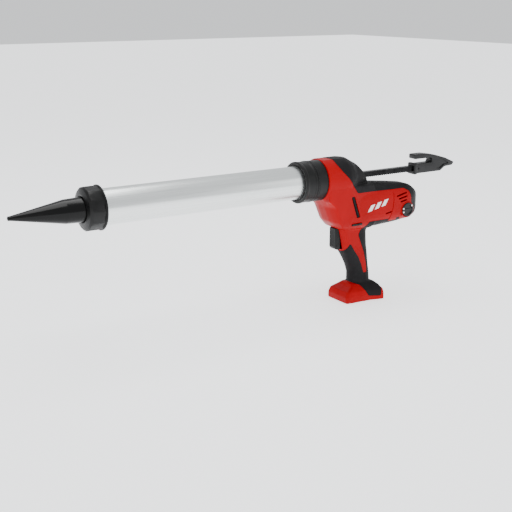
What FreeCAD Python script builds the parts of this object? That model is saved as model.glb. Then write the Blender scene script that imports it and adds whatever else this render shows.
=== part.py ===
import FreeCAD, Part
import math
import os
import Sketcher
from FreeCAD import Placement, Rotation, Vector

# A cordless caulking gun for sausage packs, in millimetres, +Z up and the nozzle towards -X.
# The row's origin is the middle of the foot's underside. Lengths below are counted from the
# barrel's axis (z) and from the front face of the barrel collar (x), and place() moves them there.
SIZES = {
    # where the barrel lies above the foot
    "barrel_height": 225, "collar_setback": 133,
    # barrel, and the rings at its two ends
    "tube_radius": 28, "tube_bore": 26, "tube_front": -374, "tube_rear": 20, "running_gap": 0.3,
    "cap_front": -384.5, "cap_length": 29.5, "cap_radius": 34.8, "cap_face_radius": 33.3, "cap_lip": 4.5,
    "cap_hole": 20.2, "cap_bead": 2.5,
    "nozzle_tip": -496, "nozzle_cone": 85, "nozzle_neck": 31.1, "nozzle_flange": 3, "nozzle_tip_radius": 3.2,
    "nozzle_tip_bore": 1.8, "nozzle_cone_radius": 18.3, "nozzle_neck_radius": 19.5, "nozzle_wall": 1.8,
    "nozzle_flange_radius": 27,
    "seal_thickness": 2.6,
    "collar_length": 24, "collar_radius": 35.5, "collar_lip": 4, "collar_bore": 31.9,
    "end_ring_radius": 31.4, "end_ring_length": 3,
    "nose_front": 7.6, "nose_groove": 24.4, "nose_rear": 45.9, "nose_radius": 35, "nose_spigot": 31.6,
    "nose_wall": 21.5, "nose_hole": 12,
    # push rod, piston and hook
    "rod_half": 5, "rod_front": -268, "rod_rear": 300, "rack_front": -181, "rack_pitch_line": -3.5,
    "rack_module": 1.5, "rack_teeth": 91, "rack_pinion_teeth": 12,
    "piston_front": -264, "piston_length": 12, "piston_radius": 25.2, "seal_radius": 25.7, "seal_width": 4,
    "piston_skirt": 3, "hook_front": 258, "hook_half": 9, "hook_round": 2.2, "pin_radius": 2, "pin_back": 10,
    # gears and shafts
    "drive_x": 88, "pinion_drop": 12.5, "motor_drop": 55, "gear_module": 1.25, "wheel_teeth": 46,
    "cross_teeth": 22, "bevel_module": 1.1, "bevel_teeth": 30, "bevel_pinion_teeth": 15, "bevel_face": 6,
    "planet_module": 0.8, "sun_teeth": 12, "planet_teeth": 18, "ring_teeth": 48,
    "sun_front": 120.5, "sun_width": 5.6, "planet_front": 120.4, "planet_width": 5.8, "ring_front": 120.2,
    "ring_width": 6.6, "carrier_radius": 16, "carrier_front": 117.4, "carrier_rear": 120,
    "carrier_neck_radius": 4.5, "carrier_neck_front": 105.1, "carrier_nose_radius": 2,
    "carrier_nose_front": 98,
    "planet_pin_radius": 1.7, "planet_pin_rear": 126.6, "spoke_windows": 5, "spoke_radius": 17,
    "shaft_radius": 4, "bush_radius": 6.4, "spur_side": 9.8, "spur_width": 7.5, "pinion_half_width": 5.4,
    # gearbox casting
    "box_left": -21, "box_right": 19.5, "box_wall": 3, "box_upper_radius": 33.6, "box_lower_radius": 23.3,
    "cover_thickness": 3, "rod_bore": 8.4, "neck_radius": 22, "neck_front": 46.2,
    "case_front": 113, "case_rear": 127.6, "case_radius": 24.5, "case_bore": 23.05, "case_wall": 3,
    # motor
    "can_front": 128, "can_rear": 205, "can_radius": 24, "can_wall": 1.8, "magnet_bore": 19.2,
    "core_radius": 18.4, "core_front": 137, "core_rear": 193, "motor_shaft_radius": 2.5,
    "commutator_front": 196, "commutator_length": 12, "commutator_radius": 9, "bell_length": 10,
    "fan_front": 219, "fan_radius": 20.5, "fan_width": 9, "fan_blades": 9, "shaft_rear": 231,
    "magnet_gap_half": 4, "winding_slots": 9, "winding_slot_radius": 2.6, "winding_circle": 13.5,
    # moulded body: a hump over the barrel's end, a motor housing behind it, a handle and a foot
    "body_wall": 4, "skin": 1.6, "insert_depth": 2.4, "hump_half": 38, "nose_clearance": 0.3,
    "rod_window": 5.7,
    # controls
    "trigger_front": 77, "trigger_back": 86, "trigger_top": -88.5, "trigger_foot": -127, "trigger_half": 9,
    "stem_half": 6, "stem_back": 98, "stem_top": -94, "stem_foot": -112,
    "slot_gap": 0.4, "switch_front": 106.5, "switch_back": 126, "switch_half": 10, "switch_top": -91,
    "switch_foot": -131, "spring_radius": 3.4, "spring_wire": 0.6, "spring_turns": 5, "spring_height": -103,
    "lock_x": 110.5, "lock_z": -79, "lock_half_length": 9.5, "lock_half_height": 3.8, "lock_reach": 33,
    "dial_x": 224.5, "dial_z": -67, "dial_radius": 12.6, "dial_front": -34,
    "dial_back": -24, "dial_stem": 3, "bezel_radius": 15.6, "bezel_front": -32.6,
    # foot and terminals
    "seat_z": -225, "pocket_front": 108, "pocket_roof": -213, "rail_top": -221, "pocket_half": 24,
    "rail_half": 20.5, "block_front": 118, "block_rear": 148, "block_half": 14, "blade_thickness": 0.9,
    # housing screws
    "screw_head_radius": 3.3, "screw_head": 2.6, "screw_shank": 1.6, "boss_radius": 4.3,
}
PRESSURE = math.radians(25)
FLANK_STEPS = 4
BACKLASH = 0.16
# turns that lay a piece made upright, or along X, onto another axis
TURN_X_TO_Y = Rotation(Vector(0, 0, 1), 90)
LAY_ON_Y = Rotation(Vector(1, 0, 0), 90)
LAY_ON_X = Rotation(Vector(1, 1, 1), 120)

doc = FreeCAD.newDocument("CaulkingGun")
sheet = doc.addObject("Spreadsheet::Sheet", "sizes")
for row, (name, number) in enumerate(SIZES.items(), start=1):
    sheet.set(f"A{row}", name)
    sheet.set(f"B{row}", str(number))
    sheet.setAlias(f"B{row}", name)
doc.recompute()
size = {name: float(sheet.get(name)) for name in SIZES}
subparts = []


def value(text):
    """The number that a sum such as 'tube_radius + 2' stands for."""
    total, sign = 0.0, 1.0
    for word in str(text).split():
        if word in ("+", "-"):
            sign = 1.0 if word == "+" else -1.0
        else:
            total += sign * (size[word] if word in size else float(word))
    return total


def expression(text):
    """The same sum, written for FreeCAD with each name read from the sheet."""
    return " ".join("sizes." + word if word in size else word for word in str(text).split())


def place(thing, x="0", y="0", z="0", turn=None):
    """Put a sub-part at x, y, z in the barrel's frame, bound to the sheet."""
    moved = (f"{x} - collar_setback", y, f"{z} + barrel_height")
    thing.Placement = Placement(Vector(*map(value, moved)), turn or Rotation())
    for letter, text in zip("xyz", moved):
        thing.setExpression(f"Placement.Base.{letter}", expression(text))
    subparts.append(thing)
    return thing


# ---------------------------------------------------------------- sketched bodies

def draw(sketch, points):
    """A closed outline whose corners are all dimensioned from the sketch's origin."""
    corners = [Vector(value(along), value(out), 0) for along, out in points]
    count = len(corners)
    for i in range(count):
        sketch.addGeometry(Part.LineSegment(corners[i], corners[(i + 1) % count]), False)
    for i in range(count):
        sketch.addConstraint(Sketcher.Constraint("Coincident", i, 2, (i + 1) % count, 1))
    for i, point in enumerate(points):
        for kind, axis, text in zip(("DistanceX", "DistanceY"), (-2, -1), point):
            if value(text) == 0:
                sketch.addConstraint(Sketcher.Constraint("PointOnObject", i, 1, axis))
                continue
            index = sketch.addConstraint(Sketcher.Constraint(kind, -1, 1, i, 1, value(text)))
            sketch.renameConstraint(index, f"{kind}_{i}")
            sketch.setExpression(f"Constraints.{kind}_{i}", expression(text))


def sketched_body(label, points):
    """A body with one outline on its own XZ plane."""
    body = doc.addObject("PartDesign::Body", label)
    body.Label = label
    sketch = body.newObject("Sketcher::SketchObject", label + "_outline")
    plane = next(item for item in body.Origin.OriginFeatures if item.Role == "XZ_Plane")
    sketch.AttachmentSupport = (plane, [""])
    sketch.MapMode = "FlatFace"
    draw(sketch, points)
    return body, sketch


def turned(label, points, x="0", y="0", z="0", turn=None):
    """A lathe-turned piece: (distance from its front end, radius) points, spun about its axis."""
    body, sketch = sketched_body(label, points)
    spin = body.newObject("PartDesign::Revolution", label + "_spin")
    spin.Profile = sketch
    spin.ReferenceAxis = (sketch, ["H_Axis"])
    spin.Angle = 360
    sketch.Visibility = False
    return place(body, x, y, z, turn)


def ring(label, length, outer, inner, x="0", y="0", z="0", turn=None):
    """A plain turned ring or bush."""
    points = [("0", inner), (length, inner), (length, outer), ("0", outer)]
    return turned(label, points, x, y, z, turn)


# ---------------------------------------------------------------- shapes made in code

def feature(label, shape, turn=None, x="0", y="0", z="0"):
    """A sub-part whose solid is made from the sheet's sizes by the functions below."""
    if shape.ShapeType == "Compound" and len(shape.Solids) == 1:
        shape = shape.Solids[0]
    thing = doc.addObject("Part::Feature", label)
    thing.Label = label
    thing.Shape = shape
    return place(thing, x, y, z, turn)


def rod_along(axis, radius, start, end, x=0.0, y=0.0, z=0.0):
    """A round bar along X or Y between two places on that axis."""
    direction = Vector(1, 0, 0) if axis == "X" else Vector(0, 1, 0)
    foot = Vector(start, y, z) if axis == "X" else Vector(x, start, z)
    return Part.makeCylinder(radius, end - start, foot, direction)


def block(x_low, x_high, y_low, y_high, z_low, z_high):
    """A rectangular block between two corners."""
    return Part.makeBox(x_high - x_low, y_high - y_low, z_high - z_low, Vector(x_low, y_low, z_low))


def rounded(points):
    """A closed wire through (point, corner radius) pairs, with an arc at each rounded corner."""
    count = len(points)
    edges = []
    ends = []
    for i, (corner, radius) in enumerate(points):
        before = (points[i - 1][0] - corner).normalize()
        after = (points[(i + 1) % count][0] - corner).normalize()
        if radius <= 0:
            ends.append((corner, corner))
            continue
        half = before.getAngle(after) / 2
        reach = radius / math.tan(half)
        middle = (before + after).normalize() * (radius / math.sin(half) - radius)
        start, end = corner + before * reach, corner + after * reach
        edges.append((i, Part.Arc(start, corner + middle, end).toShape()))
        ends.append((start, end))
    arcs = dict(edges)
    path = []
    for i in range(count):
        if i in arcs:
            path.append(arcs[i])
        leave, arrive = ends[i][1], ends[(i + 1) % count][0]
        if leave.distanceToPoint(arrive) > 1e-6:
            path.append(Part.LineSegment(leave, arrive).toShape())
    return Part.Wire(path)


def side_slab(outline, y_low, y_high):
    """A plate whose side view is the outline of (x, z, corner radius) points."""
    wire = rounded([(Vector(x, y_low, z), radius) for x, z, radius in outline])
    return Part.Face(wire).extrude(Vector(0, y_high - y_low, 0))


def fuse(shapes):
    """One solid of several."""
    return shapes[0].multiFuse(shapes[1:]).removeSplitter()


def half(shape, side):
    """The half of a shape on one side of the gun's middle plane, -1 left and 1 right."""
    low, high = (-60, 0) if side < 0 else (0, 60)
    kept = shape.common(block(20, 300, low, high, -240, 60))
    return max(kept.Solids, key=lambda solid: solid.Volume)


# ---------------------------------------------------------------- gear teeth

def involute(angle):
    return math.tan(angle) - angle


def flank(teeth, module, addendum=1.0, dedendum=1.25, play=BACKLASH):
    """(radius, half tooth angle) points from the root of a tooth to its tip."""
    pitch = teeth * module / 2
    base = pitch * math.cos(PRESSURE)
    root, tip = pitch - dedendum * module, pitch + addendum * module
    start = max(base, root)
    radii = [start + (tip - start) * i / FLANK_STEPS for i in range(FLANK_STEPS + 1)]
    if root < base:
        radii.insert(0, root)
    half_at_pitch = math.pi / (2 * teeth) - play / (2 * pitch) + involute(PRESSURE)
    return [(r, half_at_pitch - involute(math.acos(min(1.0, base / r)))) for r in radii]


def toothed_wire(profile, teeth, phase, height=0.0):
    """The outline of a gear whose first tooth points at the phase angle."""
    points = []
    for i in range(teeth):
        centre = phase + 2 * math.pi * i / teeth
        sides = [(r, centre - angle) for r, angle in profile]
        sides += [(r, centre + angle) for r, angle in reversed(profile)]
        points += [Vector(r * math.cos(a), r * math.sin(a), height) for r, a in sides]
    return Part.makePolygon(points + points[:1])


def spur(teeth, module, width, bore, phase, **tooth):
    """A spur gear on its own Z axis, from z = 0 to its width."""
    wire = toothed_wire(flank(teeth, module, **tooth), teeth, phase)
    blank = Part.Face(wire).extrude(Vector(0, 0, width))
    return blank.cut(Part.makeCylinder(bore, 3 * width, Vector(0, 0, -width)))


def bevel(teeth, mate_teeth, module, face, hub_radius, hub_length, bore, phase):
    """A bevel gear about Z with its apex at the origin, its teeth along rays from the apex."""
    slope = math.atan2(teeth, mate_teeth)
    pitch = teeth * module / 2
    far = pitch / math.tan(slope)
    near = far - face * math.cos(slope)
    equivalent = teeth / math.cos(slope)
    virtual = flank(equivalent, module)
    star = []
    for r, angle in virtual:
        depth = far - (r - pitch / math.cos(slope)) * math.sin(slope)
        star.append((r * math.cos(slope) / depth, angle / math.cos(slope)))
    wires = [toothed_wire([(r * height, a) for r, a in star], teeth, phase, height) for height in (near, far)]
    body = Part.makeLoft(wires, True, True)
    hub = Part.makeCylinder(hub_radius, hub_length, Vector(0, 0, far))
    hole = Part.makeCylinder(bore, far + 2 * hub_length, Vector(0, 0, 0))
    return body.fuse(hub).cut(hole)


# ---------------------------------------------------------------- the moulded body's outer form

def box_section(x, half_width, z_low, z_high, corner):
    """One cross-section of the motor housing, at x."""
    sides = [(-half_width, z_low), (half_width, z_low), (half_width, z_high), (-half_width, z_high)]
    return rounded([(Vector(x, y, z), corner) for y, z in sides])


def motor_form(inset):
    """The rounded housing behind the hump, which narrows to its rear end."""
    stations = [
        (96, 32.5, -94, -12, 26), (165, 32.5, -93, -14, 26), (200, 32, -91, -18, 25),
        (236, 30.5, -88.6, -22.5, 24), (254, 26.5, -84.5, -27, 20), (264, 20, -77, -35, 14),
        (268.5, 11, -67, -45, 8),
    ]
    wires = []
    for x, half_width, z_low, z_high, corner in stations:
        x_inner = x - inset * max(0.0, (x - 165) / (268.5 - 165))
        wires.append(box_section(x_inner, half_width - inset, z_low + inset, z_high - inset, corner - inset))
    return Part.makeLoft(wires, True, False)


HUMP_LOWER_HALF, HUMP_FLOOR, HUMP_CORNER = 30, -94, 20
HUMP_TAPER_START, HUMP_TAPER_END, HUMP_TAIL_HALF = 88, 165, 29


def hump_form(inset):
    """The arched front of the body, over the gearbox."""
    side = [
        (42, 37, 3), (94, 37, 26), (119, 25, 30), (146, -9.5, 6), (160, -40, 0), (150, -94, 0),
        (82, -89.5, 14), (64.5, -77, 16), (53, -50, 26), (42, -36, 8),
    ]
    grown = side_slab(side, -60, 60)
    if inset > 0:
        grown = side_slab(inner_outline(side, inset), -60, 60)
    reach = size["hump_half"] - inset
    low_half, floor, corner = HUMP_LOWER_HALF - inset, HUMP_FLOOR + inset, HUMP_CORNER - inset
    lower = rounded([
        (Vector(30, -reach, 0), 0), (Vector(30, -low_half, floor), corner),
        (Vector(30, low_half, floor), corner),
        (Vector(30, reach, 0), 0),
    ])
    arch = rod_along("X", reach, 30, 170).fuse(Part.Face(lower).extrude(Vector(140, 0, 0)))
    tail = HUMP_TAIL_HALF - inset
    plan = [(30, -reach), (HUMP_TAPER_START, -reach), (HUMP_TAPER_END, -tail), (HUMP_TAPER_END, tail),
            (HUMP_TAPER_START, reach), (30, reach), (30, -reach)]
    narrowed = Part.Face(Part.makePolygon([Vector(x, y, -100) for x, y in plan])).extrude(Vector(0, 0, 150))
    return grown.common(arch).common(narrowed)


def inner_outline(outline, inset):
    """The outline of (x, z, radius) points moved inwards by the inset."""
    count = len(outline)
    moved = []
    for i, (x, z, radius) in enumerate(outline):
        here = Vector(x, 0, z)
        back = (here - Vector(outline[i - 1][0], 0, outline[i - 1][1])).normalize()
        ahead = (Vector(outline[(i + 1) % count][0], 0, outline[(i + 1) % count][1]) - here).normalize()
        inward_back, inward_ahead = Vector(-back.z, 0, back.x) * -1, Vector(-ahead.z, 0, ahead.x) * -1
        bisector = inward_back + inward_ahead
        shift = bisector * (inset * 2 / bisector.dot(bisector))
        hollow = back.cross(ahead).y
        moved.append((x + shift.x, z + shift.z, max(0.0, radius - inset if hollow > 0 else radius + inset)))
    return moved


def handle_form(inset):
    """The leaning pistol handle, thickest behind the trigger."""
    stations = [
        (-84, 84, 153, 19, 15), (-100, 86, 150, 18.5, 15), (-126, 89.5, 153.5, 18, 15),
        (-135, 96, 155, 17.6, 15), (-147, 103, 157, 17.4, 15), (-161, 109.5, 159.5, 17.2, 15),
        (-175, 114.5, 161.5, 17.2, 15), (-190, 116.5, 163, 17.6, 15), (-208, 116, 164, 18.6, 15),
    ]
    wires = []
    for z, front, back, half_width, corner in stations:
        sides = [(front + inset, -1), (back - inset, -1), (back - inset, 1), (front + inset, 1)]
        reach = half_width - inset
        wires.append(rounded([(Vector(x, y * reach, z), corner - inset) for x, y in sides]))
    return Part.makeLoft(wires, True, False)


def foot_form(inset):
    """The flared foot that stands on the battery, or on the bench."""
    stations = [
        (-225 + inset, 95.5, 173.5, 26.5, 29.5, 38.5, 6), (-205, 96.5, 172.5, 26, 29, 38, 6),
        (-197, 102, 170, 22.5, 26, 33, 6), (-188 - inset, 112, 165, 17.5, 18.5, 19.5, 6),
    ]
    wires = []
    for z, front, rear, front_half, middle_half, rear_half, corner in stations:
        side = [
            (front + inset, front_half - inset), (146, middle_half - inset),
            (rear - inset, rear_half - inset),
        ]
        loop = [(x, -y) for x, y in side] + [(x, y) for x, y in reversed(side)]
        wires.append(rounded([(Vector(x, y, z), max(1.0, corner - inset)) for x, y in loop]))
    return Part.makeLoft(wires, True, True)


def body_form(inset):
    """The whole moulded body, or the same form with all its faces moved inwards."""
    return hump_form(inset).multiFuse([motor_form(inset), handle_form(inset), foot_form(inset)])


BODY_OVERMOULD = [
    (58, 45, 0), (64, 33, 4), (81, 17, 12), (92, -1, 12), (100, -17, 8), (109, -25, 6), (216, -26.5, 8),
    (231, -34, 8), (236, -51, 8), (238, -100, 0), (290, -100, 0), (290, 45, 0),
]
GRIP_OVERMOULD = [
    (130, -88, 4), (139, -79.5, 4), (206, -80.5, 4), (214, -110, 0), (200, -150, 0), (182, -190, 0),
    (167, -197, 0), (166, -217.5, 3), (138, -213, 4), (127, -190, 8), (108, -187, 4), (70, -180, 0),
    (70, -145, 0), (91, -133, 5), (106, -116, 3), (118, -136, 8), (129, -147, 8), (134, -161, 8),
    (139.5, -176, 2), (146.5, -176, 2), (144.5, -161, 8), (138, -136, 8), (130, -118, 8), (122.5, -102, 6),
]
SIDE_INSERT = [(95.2, -28.5, 3), (103.2, -28.5, 3), (118.2, -68.5, 3), (110.2, -68.5, 3)]
VENT_ROWS = [(203, -36, 20), (205, -43, 20), (207.5, -50, 19), (186, -73, 14)]
VENT_HEIGHT = 2.6
VENT_RISE = 1.8
# x, z and the height of the screw's head above the middle plane
SCREWS = [
    (58, 27, 23.5), (119, 15.6, 31), (150, -88, 18.5), (241, -33.5, 22), (243, -74, 22),
    (109, -140, 12.5), (150, -180, 12.5), (127, -183, 12.5),
]


def vents(side):
    """The slanted cooling slots of one side."""
    slots = []
    for x, z, length in VENT_ROWS:
        outline = [
            (x, z, 1), (x + length, z + VENT_RISE, 1), (x + length, z + VENT_RISE + VENT_HEIGHT, 1),
            (x, z + VENT_HEIGHT, 1),
        ]
        slots.append(side_slab(outline, *sorted((side * 20, side * 50))))
    return Part.makeCompound(slots)


def stadium(x, z, half_length, half_height, y_low, y_high):
    """A bar with round ends, lying along X in side view."""
    corners = [(-1, -1), (1, -1), (1, 1), (-1, 1)]
    outline = [(x + a * half_length, z + b * half_height, half_height * 0.98) for a, b in corners]
    return side_slab(outline, y_low, y_high)


def body_cuts():
    """Everything that is open in the moulded body: windows, slots, pockets and screw holes."""
    gap = size["slot_gap"]
    window = size["rod_window"]
    rail = size["rail_top"]
    trigger = size["trigger_half"] + gap
    cuts = [
        rod_along("X", size["nose_radius"] + size["nose_clearance"], 30, size["nose_rear"] + 0.2),
        block(100, 175, -window, window, -window, window),
        block(70, 101, -trigger, trigger, size["trigger_foot"] - 1.2, size["trigger_top"] + 0.7),
        block(size["pocket_front"], 200, -size["pocket_half"], size["pocket_half"], rail,
              size["pocket_roof"]),
        block(size["pocket_front"], 200, -size["rail_half"], size["rail_half"], -240, rail),
        stadium(size["lock_x"], size["lock_z"], size["lock_half_length"] + gap,
                size["lock_half_height"] + gap, -50, 50),
        rod_along("Y", size["dial_radius"] + gap, -60, size["dial_back"] + 0.4, x=size["dial_x"],
                  z=size["dial_z"]),
        rod_along("Y", size["dial_stem"] + 0.1, -60, -10, x=size["dial_x"], z=size["dial_z"]),
        vents(-1),
        vents(1),
    ]
    for x, z, head in SCREWS:
        cuts.append(rod_along("Y", size["screw_head_radius"] + 0.2, head - size["screw_head"], 60, x=x, z=z))
        cuts.append(rod_along("Y", size["screw_shank"] + 0.05, -head + 4, 60, x=x, z=z))
    return Part.makeCompound(cuts)


def moulded_body():
    """The two housing shells with the overmould and inserts that lie flush in their faces."""
    outer = body_form(0)
    under_skin = body_form(size["skin"])
    cavity = body_form(size["body_wall"])
    block_room = block(size["block_front"] - 0.3, size["block_rear"] + 0.3, -size["block_half"] - 0.3,
                       size["block_half"] + 0.3, -240, -200)
    floor_plug = block(80, 200, -60, 60, -240, size["pocket_roof"] + size["body_wall"])
    cavity = cavity.cut(floor_plug)
    bosses = [rod_along("Y", size["boss_radius"], -head, head, x=x, z=z) for x, z, head in SCREWS]
    bezel = rod_along("Y", size["bezel_radius"], size["bezel_front"], -21.2, x=size["dial_x"],
                      z=size["dial_z"])
    shell = outer.cut(cavity).multiFuse(bosses + [bezel])
    cuts = body_cuts()
    skin = outer.cut(under_skin)
    body_zone = side_slab(BODY_OVERMOULD, -60, 60)
    grip_zone = side_slab(GRIP_OVERMOULD, -60, 60)
    dial_zone = rod_along("Y", size["bezel_radius"] + 1.5, -60, -10, x=size["dial_x"], z=size["dial_z"])
    body_soft = skin.common(body_zone).cut(dial_zone)
    grip_soft = skin.common(grip_zone).cut(dial_zone)
    insert_skin = outer.cut(body_form(size["insert_depth"]))
    insert = insert_skin.common(side_slab(SIDE_INSERT, -60, 60))
    shell = shell.cut(Part.makeCompound([body_soft, grip_soft, insert, block_room])).cut(cuts)
    body_soft = body_soft.cut(cuts)
    grip_soft = grip_soft.cut(cuts)
    for side, hand in ((-1, "left"), (1, "right")):
        feature(f"{hand}_housing", half(shell, side))
        feature(f"{hand}_body_overmould", half(body_soft, side))
        feature(f"{hand}_grip_overmould", half(grip_soft, side))
        feature(f"{hand}_side_insert", half(insert, side))


def housing_screws():
    """Self-tapping screws that go in from the right side, each with a star socket's round recess."""
    screws = []
    for x, z, head in SCREWS:
        cap = rod_along("Y", size["screw_head_radius"], head - size["screw_head"], head, x=x, z=z)
        shank = rod_along("Y", size["screw_shank"], -head + 6, head - 1, x=x, z=z)
        socket = rod_along("Y", 1.5, head - 1.6, head + 1, x=x, z=z)
        screws.append(cap.fuse(shank).cut(socket))
    return Part.makeCompound(screws)


# ---------------------------------------------------------------- barrel line

def barrel_line():
    """Nozzle, screw cap, seal, tube, collar and the gearbox's threaded nose."""
    tip, wall = "nozzle_tip_radius", "nozzle_wall"
    neck_end = "nozzle_cone + nozzle_neck"
    flange_end = "nozzle_cone + nozzle_neck + nozzle_flange"
    turned("nozzle", [
        ("0", "nozzle_tip_bore"), ("6", "nozzle_tip_bore"),
        ("nozzle_cone", f"nozzle_cone_radius - {wall}"), (flange_end, f"nozzle_neck_radius - {wall}"),
        (flange_end, "nozzle_flange_radius"), (neck_end, "nozzle_flange_radius"),
        (neck_end, "nozzle_neck_radius"), ("nozzle_cone", "nozzle_cone_radius"),
        ("1", tip), ("0", f"{tip} - 0.6"),
    ], x="nozzle_tip")
    turned("front_cap", [
        ("0", "cap_hole"), ("cap_lip", "cap_hole"), ("cap_lip", "tube_radius + running_gap"),
        ("cap_length", "tube_radius + running_gap"), ("cap_length", "cap_radius"),
        ("cap_length - cap_bead", "cap_radius"), ("cap_length - cap_bead", "cap_radius - 0.6"),
        ("cap_lip - 1", "cap_face_radius"), ("cap_lip - 3", "cap_face_radius - 3"),
        ("0", "cap_face_radius - 11"),
    ], x="cap_front")
    ring("front_seal", "seal_thickness", "nozzle_flange_radius", "nozzle_neck_radius",
         x="tube_front - seal_thickness - 0.1")
    ring("barrel_tube", "tube_rear - tube_front", "tube_radius", "tube_bore", x="tube_front")
    ring("tube_end_ring", "end_ring_length", "end_ring_radius", "tube_radius", x="collar_lip + 0.3")
    turned("barrel_collar", [
        ("0", "tube_radius + running_gap"), ("collar_lip", "tube_radius + running_gap"),
        ("collar_lip", "collar_bore"), ("collar_length", "collar_bore"),
        ("collar_length", "collar_radius - 0.8"), ("collar_length - 0.8", "collar_radius"),
        ("1.5", "collar_radius"), ("0", "collar_radius - 1.5"), ("0", "tube_radius + 5.5"),
        ("1.2", "tube_radius + 5"), ("1.2", "tube_radius + 2"), ("0", "tube_radius + 1.5"),
    ])
    turned("nose_ring", [
        ("0", "tube_radius + running_gap"), ("nose_wall - nose_front", "tube_radius + running_gap"),
        ("nose_wall - nose_front", "nose_hole"), ("nose_rear - nose_front", "nose_hole"),
        ("nose_rear - nose_front", "nose_radius"), ("nose_groove - nose_front", "nose_radius"),
        ("nose_groove - nose_front", "nose_spigot"), ("0", "nose_spigot"),
    ], x="nose_front")


# ---------------------------------------------------------------- push rod

def rack_bar():
    """The square rod with its rack teeth cut along the underside."""
    half_height, line = size["rod_half"], size["rack_pitch_line"]
    module = size["rack_module"]
    pitch = math.pi * module
    tip, root = -half_height, line + 1.25 * module
    lean = math.tan(PRESSURE)
    tooth = pitch / 4 - BACKLASH / 4
    tip_half = tooth - (line - tip) * lean
    root_half = tooth + (root - line) * lean
    under = [(size["rod_front"], tip)]
    first = size["drive_x"] - round((size["drive_x"] - size["rack_front"]) / pitch) * pitch
    for i in range(int(size["rack_teeth"])):
        centre = first + i * pitch
        corners = [(-root_half, root), (-tip_half, tip), (tip_half, tip), (root_half, root)]
        if i == 0:
            corners = corners[1:]
        if i == int(size["rack_teeth"]) - 1:
            corners = corners[:-1]
        under += [(centre + a, b) for a, b in corners]
    under += [(size["rod_rear"], tip), (size["rod_rear"], half_height), (size["rod_front"], half_height)]
    points = [Vector(x, -half_height, z) for x, z in under]
    bar = Part.Face(Part.makePolygon(points + points[:1])).extrude(Vector(0, 2 * half_height, 0))
    spigot = rod_along("X", 4, size["rod_front"] - 1, size["piston_front"] + size["piston_length"])
    room = block(size["rod_front"] - 5, size["piston_front"] + size["piston_length"], -9, 9, -9, 9)
    pin = rod_along("Y", size["pin_radius"], -20, 20, x=size["hook_front"] + size["pin_back"])
    thread = rod_along("X", 2.5, size["rod_front"] - 5, size["piston_front"] + 20)
    spigot = spigot.common(block(size["piston_front"] + 2, 0, -9, 9, -9, 9))
    return bar.cut(room).fuse(spigot).cut(pin).cut(thread)


def hook():
    """The hanging hook: a socket over the rod's end with a finger that turns back above it."""
    width = size["hook_half"]
    front = size["hook_front"]
    outline = [
        (front, -9, 2), (322, -9, 8), (332, -2, 8), (350, -1, 2.5), (355.5, 4.5, 2), (333, 14.5, 40),
        (306, 22.5, 40), (282, 26.5, 20), (front, 26.5, 2.5), (front, 17.6, 2.5), (300, 17.6, 4.2),
        (300, 8.8, 4.2), (front, 8.8, 1.5),
    ]
    plate = side_slab(outline, -width, width)
    sides = [edge for edge in plate.Edges if abs(edge.CenterOfMass.y) > width - 0.01]
    plate = plate.makeFillet(size["hook_round"], sides)
    reach = size["rod_half"] + 0.05
    socket = block(front - 5, size["rod_rear"] + 0.3, -reach, reach, -reach, reach)
    pin = rod_along("Y", size["pin_radius"], -20, 20, x=front + size["pin_back"])
    return plate.cut(socket).cut(pin)


def push_rod():
    feature("rack_rod", rack_bar())
    feature("rod_hook", hook())
    pin = doc.addObject("Part::Cylinder", "hook_pin")
    pin.Label = "hook_pin"
    pin.setExpression("Radius", expression("pin_radius"))
    pin.setExpression("Height", "2 * sizes.hook_half - 1")
    place(pin, "hook_front + pin_back", "hook_half - 0.5", "0", Rotation(Vector(1, 0, 0), 90))
    groove = "piston_length - piston_skirt - seal_width"
    turned("piston_disc", [
        ("0", "4.05"), ("piston_length", "4.05"), ("piston_length", "piston_radius"),
        ("piston_length - piston_skirt", "piston_radius"),
        ("piston_length - piston_skirt", "piston_radius - 4"),
        (groove, "piston_radius - 4"), (groove, "piston_radius"), ("1.5", "piston_radius - 1"),
        ("0", "piston_radius - 5"),
    ], x="piston_front")
    turned("piston_seal", [
        ("0", "piston_radius - 4"), ("seal_width", "piston_radius - 4"), ("seal_width", "piston_radius"),
        ("seal_width - 1", "seal_radius"), ("1", "seal_radius"), ("0", "piston_radius"),
    ], x=f"piston_front + {groove}")
    turned("piston_screw", [
        ("0", "2"), ("1.5", "2"), ("2", "0"), ("20", "0"), ("20", "2.45"), ("4", "2.45"), ("4", "6.5"),
        ("1", "6.5"), ("0", "5.5"),
    ], x="piston_front - 4")


# ---------------------------------------------------------------- gearbox and gears

def box_outline(clearance):
    """The casting's outer form: a round top over the wheel and a round foot over the bevel gears."""
    low, high = size["box_left"] + clearance, size["box_right"]
    x, top, foot = size["drive_x"], -size["pinion_drop"], -size["motor_drop"]
    upper, lower = size["box_upper_radius"] - clearance, size["box_lower_radius"] - clearance
    return fuse([
        rod_along("Y", upper, low, high, x=x, z=top),
        rod_along("Y", lower, low, high, x=x, z=foot),
        block(x - lower, x + lower, low, high, foot, top),
    ])


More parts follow.
